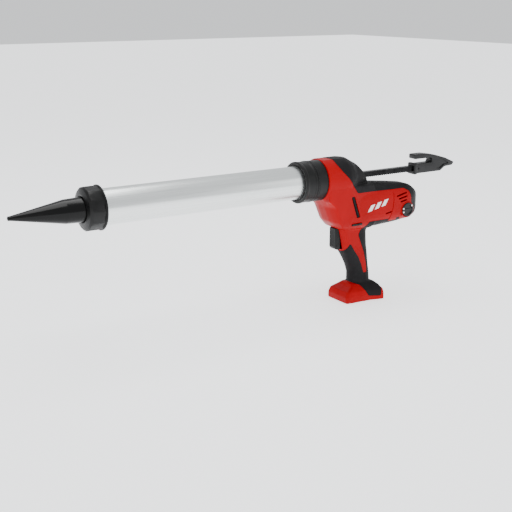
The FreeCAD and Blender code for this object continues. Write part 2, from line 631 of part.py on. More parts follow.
def gearbox():
    wall, foot = size["box_wall"], -size["motor_drop"]
    x, top = size["drive_x"], -size["pinion_drop"]
    left, right = size["box_left"], size["box_right"]
    casting = fuse([
        box_outline(0),
        rod_along("X", size["neck_radius"], size["neck_front"], x),
        rod_along("X", size["rod_bore"] + 2.4, x, 126),
        rod_along("X", 22, x, size["case_front"] - 0.1, z=foot),
    ])
    casting = casting.common(block(40, 130, left, right, -90, 30))
    holes = [
        box_outline(wall),
        rod_along("X", size["rod_bore"], 40, 130),
        rod_along("X", 13, x, 120, z=foot),
        rod_along("X", size["case_radius"] + 0.3, size["case_front"] - 0.1, 140, z=foot),
        rod_along("Y", size["bush_radius"], left - 5, 0, x=x, z=top),
        rod_along("Y", size["bush_radius"], left - 5, 0, x=x, z=foot),
    ]
    feature("gearbox_housing", casting.cut(Part.makeCompound(holes)))
    thick = size["cover_thickness"]
    plate = fuse([
        rod_along("Y", size["box_upper_radius"], right, right + thick, x=x, z=top),
        rod_along("Y", size["box_lower_radius"], right, right + thick, x=x, z=foot),
        block(x - size["box_lower_radius"], x + size["box_lower_radius"], right, right + thick, foot, top),
    ])
    bores = [rod_along("Y", size["bush_radius"], right - 5, right + 9, x=x, z=z) for z in (top, foot)]
    plate = plate.common(block(40, 130, -30, 30, -90, 30))
    feature("gearbox_cover", plate.cut(Part.makeCompound(bores)))


def bush_pair(label, places, length, outer, inner):
    """Two plain bushes along Y in one node."""
    bushes = []
    for x, y, z in places:
        bush = rod_along("Y", outer, y, y + length, x=x, z=z)
        bushes.append(bush.cut(rod_along("Y", inner, y - 1, y + length + 1, x=x, z=z)))
    feature(label, Part.makeCompound(bushes))


def gears_and_shafts():
    x, top, foot = size["drive_x"], -size["pinion_drop"], -size["motor_drop"]
    shaft, left, right = size["shaft_radius"], size["box_left"], size["box_right"]
    window = size["rod_half"] + 0.08
    guides = []
    for low, high in ((size["neck_front"], 57), (119, 126)):
        sleeve = rod_along("X", size["rod_bore"], low, high)
        guides.append(sleeve.cut(block(low - 1, high + 1, -window, window, -window, window)))
    feature("rod_guide_bushes", Part.makeCompound(guides))
    for label, z in (("pinion_bushes", top), ("cross_shaft_bushes", foot)):
        seats = [(x, left, z), (x, right, z)]
        bush_pair(label, seats, 3, size["bush_radius"], shaft + 0.05)
    for label, drop in (("pinion_shaft", "pinion_drop"), ("cross_shaft", "motor_drop")):
        turned(label, [
            ("0", "0"), ("box_right - box_left + 2", "0"), ("box_right - box_left + 2", "shaft_radius - 0.5"),
            ("box_right - box_left + 1.5", "shaft_radius"), ("0.5", "shaft_radius"),
            ("0", "shaft_radius - 0.5"),
        ], "drive_x", "box_left + 0.5", f"- {drop}", TURN_X_TO_Y)
    # a tooth space of the rack pinion faces the rack tooth right above it
    teeth = int(size["rack_pinion_teeth"])
    half_width = size["pinion_half_width"]
    pinion = spur(teeth, size["rack_module"], 2 * half_width, shaft, math.pi / 2 + math.pi / teeth)
    feature("rack_pinion", pinion, LAY_ON_Y, "drive_x", "pinion_half_width", "- pinion_drop")
    wheel_teeth, cross_teeth = int(size["wheel_teeth"]), int(size["cross_teeth"])
    module, width = size["gear_module"], size["spur_width"]
    wheel = spur(wheel_teeth, module, width, shaft + 0.05, -math.pi / 2)
    windows = []
    count, reach = int(size["spoke_windows"]), size["spoke_radius"]
    for i in range(count):
        spoke = 2 * math.pi * i / count
        centre = Vector(reach * math.cos(spoke), reach * math.sin(spoke), -1)
        windows.append(Part.makeCylinder(6, width + 2, centre))
    feature("spur_wheel", wheel.cut(Part.makeCompound(windows)), LAY_ON_Y, "drive_x",
            "spur_side + spur_width", "- pinion_drop")
    small = spur(cross_teeth, module, width, shaft, math.pi / 2 + math.pi / cross_teeth)
    feature("spur_pinion", small, LAY_ON_Y, "drive_x", "spur_side + spur_width", "- motor_drop")
    # bevel pair: both apexes where the motor's axis meets the cross shaft
    large_teeth, little_teeth = int(size["bevel_teeth"]), int(size["bevel_pinion_teeth"])
    bevel_module, face = size["bevel_module"], size["bevel_face"]
    large = bevel(large_teeth, little_teeth, bevel_module, face, 10, 4.5, shaft, 0)
    feature("bevel_gear", large, LAY_ON_Y, "drive_x", "0", "- motor_drop")
    little = bevel(little_teeth, large_teeth, bevel_module, face, 6, 0.5, 2, math.pi + math.pi / little_teeth)
    feature("bevel_pinion", little, LAY_ON_X, "drive_x", "0", "- motor_drop")


def planetary():
    module = size["planet_module"]
    sun, planet, ring_count = (int(size[key]) for key in ("sun_teeth", "planet_teeth", "ring_teeth"))
    orbit = (sun + planet) * module / 2
    low = -size["motor_drop"]
    plate_front, plate_rear = size["carrier_front"], size["carrier_rear"]
    neck_front = size["carrier_neck_front"]
    plate = rod_along("X", size["carrier_radius"], plate_front, plate_rear, z=low)
    neck = rod_along("X", size["carrier_neck_radius"], neck_front, plate_front + 0.2, z=low)
    nose = rod_along("X", size["carrier_nose_radius"], size["carrier_nose_front"], neck_front - 0.1, z=low)
    pins = []
    for i in range(3):
        angle = math.pi / 2 + 2 * math.pi * i / 3
        y, z = orbit * math.cos(angle), low + orbit * math.sin(angle)
        pins.append(rod_along("X", size["planet_pin_radius"], plate_rear - 0.2, size["planet_pin_rear"],
                              y=y, z=z))
        gear = spur(planet, module, size["planet_width"], size["planet_pin_radius"] + 0.05,
                    angle + math.pi + math.pi / planet)
        thing = feature(f"planet_gear_{i + 1}", gear, LAY_ON_X)
        thing.setExpression("Placement.Base.x", expression("planet_front - collar_setback"))
        thing.setExpression("Placement.Base.y", f"{orbit} * cos({math.degrees(angle)})")
        thing.setExpression("Placement.Base.z",
                            f"sizes.barrel_height - sizes.motor_drop + {orbit} * sin({math.degrees(angle)})")
    feature("planet_carrier", fuse([plate, neck, nose] + pins))
    spaces = toothed_wire(flank(ring_count, module, addendum=1.25, dedendum=0.9, play=-BACKLASH), ring_count,
                          math.pi / ring_count)
    blank = Part.makeCylinder(size["case_bore"] - 0.02, size["ring_width"])
    annulus = blank.cut(Part.Face(spaces).extrude(Vector(0, 0, size["ring_width"])))
    feature("ring_gear", annulus, LAY_ON_X, "ring_front", "0", "- motor_drop")
    length = "case_rear - case_front"
    turned("planetary_case", [
        ("0", "4.6"), ("case_wall", "4.6"), ("case_wall", "case_bore"), (length, "case_bore"),
        (length, "case_radius"), ("0", "case_radius"),
    ], x="case_front", z="- motor_drop")
    sun_front, radius = size["sun_front"], size["motor_shaft_radius"]
    sun_gear = spur(sun, module, size["sun_width"], radius - 0.1, math.pi / 2)
    sun_gear.Placement = Placement(Vector(sun_front, 0, low), LAY_ON_X)
    shaft = rod_along("X", radius, sun_front, size["shaft_rear"], z=low)
    feature("motor_shaft", sun_gear.fuse(shaft))


# ---------------------------------------------------------------- motor

def motor():
    length = "can_rear - can_front"
    turned("motor_can", [
        ("0", "4"), ("can_wall", "4"), ("can_wall", "can_radius - can_wall"),
        (length, "can_radius - can_wall"),
        (length, "can_radius"), ("1.5", "can_radius"), ("0", "can_radius - 1.5"),
    ], x="can_front", z="- motor_drop")
    low = -size["motor_drop"]
    shell = rod_along("X", size["can_radius"] - size["can_wall"], size["core_front"] - 2,
                      size["core_rear"] + 2, z=low)
    shell = shell.cut(rod_along("X", size["magnet_bore"], 100, 220, z=low))
    half_gap = size["magnet_gap_half"]
    gap = block(100, 220, -30, 30, low - half_gap, low + half_gap)
    feature("motor_magnets", shell.cut(gap))
    core = rod_along("X", size["core_radius"], size["core_front"], size["core_rear"], z=low)
    slots = []
    count, circle = int(size["winding_slots"]), size["winding_circle"]
    for i in range(count):
        angle = 2 * math.pi * i / count
        y, z = circle * math.cos(angle), low + circle * math.sin(angle)
        slots.append(rod_along("X", size["winding_slot_radius"], 120, 200, y=y, z=z))
        mouth = block(120, 200, 13, 20, -0.8, 0.8)
        mouth.Placement = Placement(Vector(0, 0, low), Rotation(Vector(1, 0, 0), math.degrees(angle)))
        slots.append(mouth)
    bore = rod_along("X", size["motor_shaft_radius"], 100, 240, z=low)
    feature("rotor_core", core.cut(Part.makeCompound(slots + [bore])))
    ring("commutator", "commutator_length", "commutator_radius", "motor_shaft_radius", x="commutator_front",
         z="- motor_drop")
    turned("motor_end_bell", [
        ("0", "commutator_radius + 3"), ("bell_length - 2", "commutator_radius + 3"),
        ("bell_length - 2", "4"),
        ("bell_length", "4"), ("bell_length", "can_radius - 4.5"), ("0", "can_radius - 0.5"),
    ], x="can_rear + 0.1", z="- motor_drop")
    start, width = size["fan_front"], size["fan_width"]
    disc = rod_along("X", size["fan_radius"] - 1, start, start + 1.6, z=low)
    hub = rod_along("X", 5, start, start + width, z=low)
    blades = []
    count = int(size["fan_blades"])
    for i in range(count):
        blade = block(start + 1, start + width, 4.5, size["fan_radius"] - 1.5, -0.7, 0.7)
        blade.Placement = Placement(Vector(0, 0, low), Rotation(Vector(1, 0, 0), 360 * i / count))
        blades.append(blade)
    feature("cooling_fan", fuse([disc, hub] + blades).cut(bore))


# ---------------------------------------------------------------- controls and terminals

def controls():
    half_width, back = size["trigger_half"], size["trigger_back"]
    front, top, foot = size["trigger_front"], size["trigger_top"], size["trigger_foot"]
    pad = side_slab([(front, top, 1.5), (front, foot, 6), (back + 0.5, foot, 2), (back + 0.5, top, 1)],
                    -half_width, half_width)
    upright = [edge for edge in pad.Edges if abs(edge.CenterOfMass.x - front) < 0.01
               and abs(abs(edge.CenterOfMass.y) - half_width) < 0.01]
    pad = pad.makeFillet(3.5, upright)
    stem = block(back, size["stem_back"], -size["stem_half"], size["stem_half"], size["stem_foot"],
                 size["stem_top"])
    feature("trigger", pad.fuse(stem).removeSplitter())
    turns, wire = size["spring_turns"], size["spring_wire"]
    length = size["switch_front"] - size["stem_back"] - 2 * wire - 0.2
    helix = Part.makeHelix(length / turns, length, size["spring_radius"])
    start = Part.Wire(Part.makeCircle(wire, Vector(size["spring_radius"], 0, 0), Vector(0, 1, 0)))
    coil = Part.Wire(helix).makePipeShell([start], True, True)
    feature("trigger_spring", coil, Rotation(Vector(0, 1, 0), 90), "stem_back + 0.7", "0", "spring_height")
    case = doc.addObject("Part::Box", "trigger_switch")
    case.Label = "trigger_switch"
    case.setExpression("Length", expression("switch_back - switch_front"))
    case.setExpression("Width", "2 * sizes.switch_half")
    case.setExpression("Height", expression("switch_top - switch_foot"))
    place(case, "switch_front", "0 - switch_half", "switch_foot")
    reach, low = size["lock_reach"], size["lock_z"]
    heads = [stadium(size["lock_x"], low, size["lock_half_length"], size["lock_half_height"], *span)
             for span in ((-reach, -17.5), (17.5, reach))]
    bar = block(size["lock_x"] - 5.5, size["lock_x"] + 5.5, -18, 18, low - size["lock_half_height"],
                low - 1.2)
    feature("lock_off_button", fuse(heads + [bar]))
    radius, x, z = size["dial_radius"], size["dial_x"], size["dial_z"]
    knob = rod_along("Y", radius, size["dial_front"], size["dial_back"], x=x, z=z)
    stem = rod_along("Y", size["dial_stem"], size["dial_back"] - 1, -19.5, x=x, z=z)
    grooves = []
    for i in range(24):
        angle = 2 * math.pi * i / 24
        grooves.append(rod_along("Y", 0.8, -40, -30, x=x + radius * math.cos(angle),
                                 z=z + radius * math.sin(angle)))
    feature("speed_dial", knob.fuse(stem).cut(Part.makeCompound(grooves)))
    board = block(130, 150, -0.8, 0.8, -172, -134)
    chips = [block(133, 146, -4.5, -0.8, -148, -138), block(134, 140, 0.8, 8, -170, -158),
             block(142, 148, -6, -0.8, -168, -156)]
    feature("control_board", fuse([board] + chips))
    seat, roof = size["seat_z"], -207
    side = size["block_half"]
    housing = block(size["block_front"], size["block_rear"], -side, side, seat, roof)
    blades = []
    slots = []
    for y in (-9, 0, 9):
        slots.append(block(size["block_front"] + 4, 200, y - 1.6, y + 1.6, seat + 3, seat + 13))
        blades.append(block(size["block_front"] + 4, size["block_rear"] - 3, y - size["blade_thickness"] / 2,
                            y + size["blade_thickness"] / 2, seat + 4, seat + 12))
    feature("terminal_block", housing.cut(Part.makeCompound(slots)))
    feature("terminal_blades", Part.makeCompound(blades))


barrel_line()
push_rod()
gearbox()
gears_and_shafts()
planetary()
motor()
moulded_body()
feature("housing_screws", housing_screws())
controls()
doc.recompute()

for thing in doc.Objects:
    if "Invalid" in thing.State or "Error" in thing.State:
        raise RuntimeError(f"{thing.Label} failed: {thing.State}")
os.makedirs("parts", exist_ok=True)
whole = FreeCAD.BoundBox()
for thing in subparts:
    shape = thing.Shape
    if shape.isNull() or not shape.isValid() or not shape.Solids:
        raise RuntimeError(f"{thing.Label} has no valid solid")
    shape.exportStep(os.path.join("parts", thing.Label + ".step"))
    whole.add(shape.BoundBox)
    print(f"{thing.Label:24s} {len(shape.Solids):2d} solid(s) {shape.Volume / 1000:9.2f} cm3")
print(f"{len(subparts)} sub-parts, {whole.XLength:.1f} x {whole.YLength:.1f} x {whole.ZLength:.1f} mm")
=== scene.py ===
# %% [markdown]
# # A cordless caulking gun for sausage packs
# A red pistol body with a black soft-touch cover drives a toothed rod down a long
# aluminium barrel and squeezes sealant out of a tapered nozzle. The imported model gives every
# mechanical part its place. This script models the skins that the eye sees, as by hand, and
# gives each one the finish of the real material.
# The lesson goes: load the frame, set up the camera, light the stage, mix the materials,
# then shape the pieces from the nozzle to the foot.

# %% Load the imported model
import math

import bmesh
import bpy
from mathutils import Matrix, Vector


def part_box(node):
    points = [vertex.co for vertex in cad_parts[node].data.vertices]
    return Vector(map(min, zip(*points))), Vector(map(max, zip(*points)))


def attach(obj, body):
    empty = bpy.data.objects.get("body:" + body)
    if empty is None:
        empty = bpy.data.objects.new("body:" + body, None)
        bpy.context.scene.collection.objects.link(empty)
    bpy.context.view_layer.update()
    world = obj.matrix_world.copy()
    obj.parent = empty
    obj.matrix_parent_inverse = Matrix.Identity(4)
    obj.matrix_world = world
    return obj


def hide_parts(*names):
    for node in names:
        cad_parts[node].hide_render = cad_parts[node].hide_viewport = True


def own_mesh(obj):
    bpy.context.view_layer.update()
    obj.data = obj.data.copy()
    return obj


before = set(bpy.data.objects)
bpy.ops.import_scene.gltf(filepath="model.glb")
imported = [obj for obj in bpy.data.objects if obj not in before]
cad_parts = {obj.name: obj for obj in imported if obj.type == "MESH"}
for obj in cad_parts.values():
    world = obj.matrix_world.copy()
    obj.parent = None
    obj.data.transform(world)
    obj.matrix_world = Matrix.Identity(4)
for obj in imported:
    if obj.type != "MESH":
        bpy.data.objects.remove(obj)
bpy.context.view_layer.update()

# %% [markdown]
# ## Where things are
# A tool like this is drawn around one line: the axis of its barrel. Measures below are in
# millimetres, counted along that axis from the front face of the barrel's collar, sideways
# from the middle plane, and up from the axis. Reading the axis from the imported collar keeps
# every piece on the frame, with no fitting by eye.

# %% Places in the barrel's frame
MM = 0.001
collar_low, collar_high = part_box("barrel_collar")
BARREL = Vector((collar_low.x, 0, (collar_low.z + collar_high.z) / 2))


def at(x, y, z):
    """A place counted in millimetres from the collar's face, the middle plane and the axis."""
    return BARREL + Vector((x, y, z)) * MM


print("barrel axis", [round(number, 4) for number in BARREL])

# %% [markdown]
# ## The camera
# A long tool shows itself best from a little above and well to one side, so that the barrel
# runs across the frame. A lens of about 67 mm on a full-size sensor keeps the far end from
# shrinking too much. The camera comes first, so each later piece can be judged from it.

# %% Camera
AZIMUTH, ELEVATION = math.radians(-32.34), math.radians(15.47)
CAMERA_PLACE = Vector((-1.0335, -1.2987, 0.5339))
LENS, SENSOR = 66.8, 36

bpy.ops.object.select_all(action="DESELECT")
bpy.ops.object.camera_add(location=CAMERA_PLACE,
                          rotation=(math.pi / 2 - ELEVATION, 0, AZIMUTH))
camera = bpy.context.object
camera.data.lens = LENS
camera.data.sensor_width = SENSOR
camera.data.clip_start = 0.05
bpy.context.scene.camera = camera
print("camera to barrel", round((CAMERA_PLACE - BARREL).length, 3), "m")

# %% [markdown]
# ## Stage and light
# A studio shows plastic and metal by what they reflect. Here a pale floor and pale surroundings
# glow and give most of the light, as a light tent does. Large soft boxes add long even
# highlights, where small lamps would give sharp dots: one big box hangs over the tool, one
# stands to the front left, and a weaker one fills the shade from the right.

# %% Floor, surroundings and soft boxes
def linear(code):
    """The linear numbers that shaders use, from an sRGB hex code."""
    parts = [int(code[i:i + 2], 16) / 255 for i in (0, 2, 4)]
    return tuple(p / 12.92 if p <= 0.04045 else ((p + 0.055) / 1.055) ** 2.4 for p in parts) + (1,)


def add(tree, kind, inputs=None, **settings):
    """A node of this kind, with its settings; each input is a value or the socket that feeds it."""
    made = tree.nodes.new(kind)
    for name, value in settings.items():
        setattr(made, name, value)
    for name, value in (inputs or {}).items():
        if isinstance(value, bpy.types.NodeSocket):
            tree.links.new(value, made.inputs[name])
        else:
            made.inputs[name].default_value = value
    return made


FLOOR_GLOW, AROUND_GLOW = 1.15, 1.05
TOOL_MIDDLE = Vector((0, 0, 0.16))

bpy.ops.object.select_all(action="DESELECT")
bpy.ops.mesh.primitive_plane_add(size=14, location=(0, 2, 0))
floor = bpy.context.object
floor.name = "studio_floor"
paper = bpy.data.materials.new("white_paper_sweep")
paper.use_nodes = True
sweep = paper.node_tree.nodes["Principled BSDF"]
sweep.inputs["Base Color"].default_value = linear("F3F4F5")
sweep.inputs["Roughness"].default_value = 0.9
sweep.inputs["Emission Color"].default_value = linear("F7F8FA")
sweep.inputs["Emission Strength"].default_value = FLOOR_GLOW
floor.data.materials.append(paper)

world = bpy.data.worlds.new("pale_surroundings")
bpy.context.scene.world = world
world.use_nodes = True
world.node_tree.nodes["Background"].inputs["Color"].default_value = linear("F4F6F8")
world.node_tree.nodes["Background"].inputs["Strength"].default_value = AROUND_GLOW

# the boxes: name, place and size in metres, power in watts
SOFT_BOXES = [
    ("overhead_box", (-0.3, 0.1, 1.9), (2.0, 0.7), 22),
    ("front_left_box", (-1.5, -2.0, 0.9), (1.3, 0.9), 13),
    ("right_fill_box", (1.7, -1.6, 0.9), (0.9, 1.2), 5),
]
for name, place, (width, height), power in SOFT_BOXES:
    bpy.ops.object.light_add(type="AREA", location=place)
    lamp = bpy.context.object
    lamp.name = name
    lamp.data.shape = "RECTANGLE"
    lamp.data.size, lamp.data.size_y, lamp.data.energy = width, height, power
    lamp.rotation_euler = (TOOL_MIDDLE - Vector(place)).to_track_quat("-Z", "Y").to_euler()
print(len(SOFT_BOXES), "soft boxes")

# %% [markdown]
# ## Mixing the finishes
# Every finish starts from a Principled shader with the real material's index of refraction and
# roughness. Three things then make it look made rather than painted: a tone that drifts
# slightly over the surface, a gloss that is not quite even, and a fine relief. Each is one
# noise read in Object coordinates, whose grain is a length in millimetres along X, Y and Z, so
# that a long thin grain gives the draw lines of a metal.

# %% Tools for finishes
def finish(name, colour, roughness, metallic=0.0, **uniform):
    """A material whose Principled shader has these even values."""
    made = bpy.data.materials.new(name)
    made.use_nodes = True
    shader = made.node_tree.nodes["Principled BSDF"]
    shader.inputs["Base Color"].default_value = linear(colour)
    shader.inputs["Roughness"].default_value = roughness
    shader.inputs["Metallic"].default_value = metallic
    for socket, value in uniform.items():
        shader.inputs[socket.replace("_", " ")].default_value = value
    made.diffuse_color = linear(colour)
    return made


def grains(material, size, detail=2.0):
    """A noise whose grains have this size in millimetres along X, Y and Z."""
    tree = material.node_tree
    place = add(tree, "ShaderNodeTexCoord").outputs["Object"]
    scale = [1 / (length * MM) for length in size]
    spread = add(tree, "ShaderNodeMapping", {"Vector": place, "Scale": scale})
    noise = add(tree, "ShaderNodeTexNoise", {"Vector": spread.outputs["Vector"], "Scale": 1.0,
                                              "Detail": detail, "Roughness": 0.6})
    return noise.outputs["Fac"]


def drift_tone(material, darker, lighter, size):
    """The colour wanders between two tones over patches of this size."""
    tree = material.node_tree
    ramp = add(tree, "ShaderNodeValToRGB", {"Fac": grains(material, size)})
    ramp.color_ramp.elements[0].position, ramp.color_ramp.elements[0].color = 0.3, linear(darker)
    ramp.color_ramp.elements[1].position, ramp.color_ramp.elements[1].color = 0.7, linear(lighter)
    tree.links.new(ramp.outputs["Color"], tree.nodes["Principled BSDF"].inputs["Base Color"])


def drift_gloss(material, low, high, size):
    """The roughness wanders between two values over patches of this size."""
    tree = material.node_tree
    spread = add(tree, "ShaderNodeMapRange", {"Value": grains(material, size), "From Min": 0.3,
                                               "From Max": 0.7, "To Min": low, "To Max": high})
    tree.links.new(spread.outputs["Result"], tree.nodes["Principled BSDF"].inputs["Roughness"])


def relief(material, height, size, detail=2.0):
    """Fine bumps of this height in millimetres."""
    tree = material.node_tree
    bump = add(tree, "ShaderNodeBump", {"Height": grains(material, size, detail), "Strength": 1.0,
                                         "Distance": height * MM})
    tree.links.new(bump.outputs["Normal"], tree.nodes["Principled BSDF"].inputs["Normal"])


print("finishes are mixed from tone, gloss and relief")

# %% [markdown]
# ### Moulded plastics
# The body is injection-moulded ABS and nylon. Spark-eroded steel moulds leave a grain of about
# 0.3 mm, which breaks the highlight into a satin band; it is drawn at 0.9 mm, so that it still
# shows from a metre away. The nozzle comes from a polished mould and stays glossy. The cover on
# grip and back is a soft elastomer: darker, rougher, and pale where light grazes it.
# Light that comes evenly from all sides lays a pale veil over dark plastics. To keep them as deep
# as they should look, the blacks and the red have specular levels of 0.07 to 0.35, where a real
# plastic has about 0.5, and base colours darker than the mouldings. Under other light both
# would have to be raised again.

# %% Plastics
red_abs = finish("spark_eroded_red_abs", "9A0007", 0.36, IOR=1.53, Specular_IOR_Level=0.07)
drift_tone(red_abs, "930006", "A10009", (60, 60, 60))
drift_gloss(red_abs, 0.32, 0.42, (25, 25, 25))
relief(red_abs, 0.012, (0.9, 0.9, 0.9))

soft_cover = finish("soft_touch_elastomer", "0F0E10", 0.58, IOR=1.5, Specular_IOR_Level=0.16)
drift_tone(soft_cover, "0B0A0C", "121113", (40, 40, 40))
drift_gloss(soft_cover, 0.5, 0.66, (12, 12, 12))
relief(soft_cover, 0.03, (1.1, 1.1, 1.1))

black_nylon = finish("satin_black_nylon", "0B0B0B", 0.36, IOR=1.53, Specular_IOR_Level=0.22)
drift_tone(black_nylon, "080808", "0F0F0F", (18, 18, 18))
drift_gloss(black_nylon, 0.33, 0.46, (9, 9, 9))
relief(black_nylon, 0.012, (0.8, 0.8, 0.8))

black_acetal = finish("moulded_black_acetal", "101011", 0.34, IOR=1.48, Specular_IOR_Level=0.35)
drift_tone(black_acetal, "0C0C0D", "151516", (14, 14, 14))
drift_gloss(black_acetal, 0.28, 0.42, (6, 6, 6))
relief(black_acetal, 0.015, (1.0, 1.0, 1.0))

gloss_polypropylene = finish("polished_black_polypropylene", "040404", 0.14, IOR=1.49,
                             Specular_IOR_Level=0.2)
drift_tone(gloss_polypropylene, "030303", "060606", (30, 10, 10))
drift_gloss(gloss_polypropylene, 0.12, 0.22, (22, 6, 6))
relief(gloss_polypropylene, 0.004, (40, 4, 4))

grey_acetal = finish("grey_acetal", "8A8C8E", 0.4, IOR=1.48)
drift_tone(grey_acetal, "808284", "949698", (10, 10, 10))
relief(grey_acetal, 0.01, (0.8, 0.8, 0.8))

seal_rubber = finish("nitrile_rubber", "141414", 0.62, IOR=1.52)
drift_gloss(seal_rubber, 0.55, 0.7, (5, 5, 5))
relief(seal_rubber, 0.02, (0.7, 0.7, 0.7))

white_print = finish("pad_printed_white_ink", "F1EFEC", 0.45, IOR=1.5)
drift_tone(white_print, "E9E6E2", "F6F5F2", (3, 3, 3))
relief(white_print, 0.008, (0.6, 0.6, 0.6))
print("plastics mixed")

# %% [markdown]
# ### Metals
# The barrel is extruded aluminium: the die leaves draw lines along its length, so its grain is
# long and thin and the highlight spreads around the tube. The push rod is steel with a black
# oxide finish, nearly black and a little glossy with oil. Gears and shafts inside are ground
# steel, bushes are sintered bronze with open pores, and the gearbox is die-cast. The motor's
# magnets, its commutator and the circuit board close the list.

# %% Metals
extruded_aluminium = finish("extruded_aluminium", "E6E9E8", 0.3, 1.0)
drift_tone(extruded_aluminium, "E0E4E3", "ECEFEE", (220, 2.2, 2.2))
drift_gloss(extruded_aluminium, 0.25, 0.36, (150, 1.4, 1.4))
relief(extruded_aluminium, 0.006, (90, 0.9, 0.9))

black_oxide = finish("black_oxide_steel", "1C1C1D", 0.36, 1.0)
drift_tone(black_oxide, "161617", "262627", (9, 9, 9))
drift_gloss(black_oxide, 0.28, 0.48, (5, 3, 3))
relief(black_oxide, 0.01, (6, 0.6, 0.6))

ground_steel = finish("ground_steel", "A9ABAD", 0.28, 1.0)
drift_tone(ground_steel, "9C9EA0", "B4B6B8", (4, 4, 4))
drift_gloss(ground_steel, 0.2, 0.36, (1.2, 1.2, 1.2))
relief(ground_steel, 0.004, (0.5, 0.5, 0.5))

sintered_bronze = finish("sintered_bronze", "9A6B3A", 0.42, 1.0)
drift_tone(sintered_bronze, "8A5D30", "A97845", (1.5, 1.5, 1.5))
relief(sintered_bronze, 0.02, (0.5, 0.5, 0.5))

cast_aluminium = finish("die_cast_aluminium", "9FA3A6", 0.45, 1.0)
drift_tone(cast_aluminium, "93979A", "ABAFB2", (8, 8, 8))
relief(cast_aluminium, 0.05, (1.4, 1.4, 1.4))

ferrite = finish("sintered_ferrite", "2E2D2D", 0.6, IOR=2.0)
drift_tone(ferrite, "272626", "383737", (3, 3, 3))
relief(ferrite, 0.02, (0.6, 0.6, 0.6))

copper = finish("turned_copper", "B5683E", 0.3, 1.0)
drift_tone(copper, "A65B33", "C4774C", (0.8, 3, 3))
relief(copper, 0.006, (0.4, 4, 4))

board_green = finish("solder_mask_green", "1E5B38", 0.3, IOR=1.55)
drift_tone(board_green, "194F30", "246842", (2.5, 2.5, 2.5))
relief(board_green, 0.02, (1.2, 1.2, 1.2))
print("metals mixed")

# %% [markdown]
# ### The parts inside
# Motor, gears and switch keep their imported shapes, which are already exact. Each one only gets
# the finish of its own material, chosen by the material slot that it was packed with. Only the
# gearbox casting, its lid and the trigger's spring are taken up again below.

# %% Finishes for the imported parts
FINISH_OF_SLOT = {
    "gloss_black": gloss_polypropylene, "black_plastic": black_nylon, "rubber_seal": seal_rubber,
    "satin_aluminium": extruded_aluminium, "rod_steel": black_oxide, "grey_plastic": grey_acetal,
    "gear_steel": ground_steel, "bronze": sintered_bronze, "cast_aluminium": cast_aluminium,
    "magnet": ferrite, "copper": copper, "red_plastic": red_abs, "soft_black": soft_cover,
    "board_green": board_green,
}
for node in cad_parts.values():
    for held in node.material_slots:
        held.material = FINISH_OF_SLOT[held.material.name.split(".")[0]]
print(len(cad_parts), "packed parts finished")

# %% [markdown]
# ## Hand tools
# A few short helpers stand for what a modeller does again and again: pick one thing, draw a
# flat outline and round its corners, pull it into a block, spin it on the barrel's axis, and
# apply a modifier. Outlines start as a circle whose points are moved to the corners, and a
# vertex bevel then rounds each corner.

# %% Selecting and applying
def only(*pieces):
    """Selects these pieces and nothing else."""
    bpy.ops.object.select_all(action="DESELECT")
    for piece in pieces:
        piece.select_set(True)
    bpy.context.view_layer.objects.active = pieces[0]


def pick_points(piece, wanted):
    """In edit mode, selects the points that pass the test, with the edges between them."""
    mesh = bmesh.from_edit_mesh(piece.data)
    for point in mesh.verts:
        point.select = wanted(point.co)
    mesh.select_flush_mode()
    bmesh.update_edit_mesh(piece.data)


def apply(piece, kind, **settings):
    """Adds a modifier with these settings and applies it."""
    modifier = piece.modifiers.new(kind.lower(), kind)
    for name, value in settings.items():
        setattr(modifier, name, value)
    only(piece)
    bpy.ops.object.modifier_apply(modifier=modifier.name)
    return piece


def combine(piece, how, *tools):
    """Joins, cuts or keeps what is common with each tool, which is then thrown away."""
    for tool in tools:
        apply(piece, "BOOLEAN", operation=how, solver="MANIFOLD", object=tool)
        bpy.data.objects.remove(tool)
    return piece


def twin(piece, name):
    """A copy with its own mesh."""
    copy = piece.copy()
    copy.data = piece.data.copy()
    copy.name = copy.data.name = name
    bpy.context.scene.collection.objects.link(copy)
    return copy


def packed_twin(name, node):
    """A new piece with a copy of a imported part's mesh."""
    copy = bpy.data.objects.new(name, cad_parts[node].data.copy())
    bpy.context.scene.collection.objects.link(copy)
    return copy


def soften(piece, width, segments=3, **settings):
    """Rounds the sharp edges by a bevel of this width in millimetres."""
    return apply(piece, "BEVEL", width=width * MM, segments=segments, limit_method="ANGLE",
                 **settings)


def swell(piece, distance):
    """Moves every face out by this distance in millimetres, or in if it is below nought."""
    return apply(piece, "DISPLACE", strength=distance * MM, mid_level=0)


print("selecting tools ready")


# %% Outlines, blocks and turned shapes
CORNER_STEPS = 6         # faces in a rounded corner
PEG_SIDES, SPIN_STEPS = 64, 96
ONE_SPOT, WELD = 1e-7, 1e-6   # metres within which points count as the same, or are merged
THROUGH = (-60, 60)      # from left to right, wider than the tool
CREASE = math.radians(32)


def outline(name, corners, spot):
    """A flat face. Each corner is two measures and a radius; spot turns the two into a place."""
    bpy.ops.object.select_all(action="DESELECT")
    bpy.ops.mesh.primitive_circle_add(vertices=len(corners), fill_type="NGON")
    piece = bpy.context.object
    piece.name = piece.data.name = name
    places = [spot(first, second) for first, second, radius in corners]
    for point, place in zip(piece.data.vertices, places):
        point.co = place
    bpy.ops.object.mode_set(mode="EDIT")
    bpy.ops.mesh.select_mode(type="VERT")
    for i, (first, second, radius) in enumerate(corners):
        if radius:
            back = places[i - 1] - places[i]
            ahead = places[(i + 1) % len(places)] - places[i]
            pick_points(piece, lambda place: (place - places[i]).length < ONE_SPOT)
            bpy.ops.mesh.bevel(offset=radius * MM / math.tan(back.angle(ahead) / 2),
                               segments=CORNER_STEPS, affect="VERTICES")
    bpy.ops.object.mode_set(mode="OBJECT")
    return piece


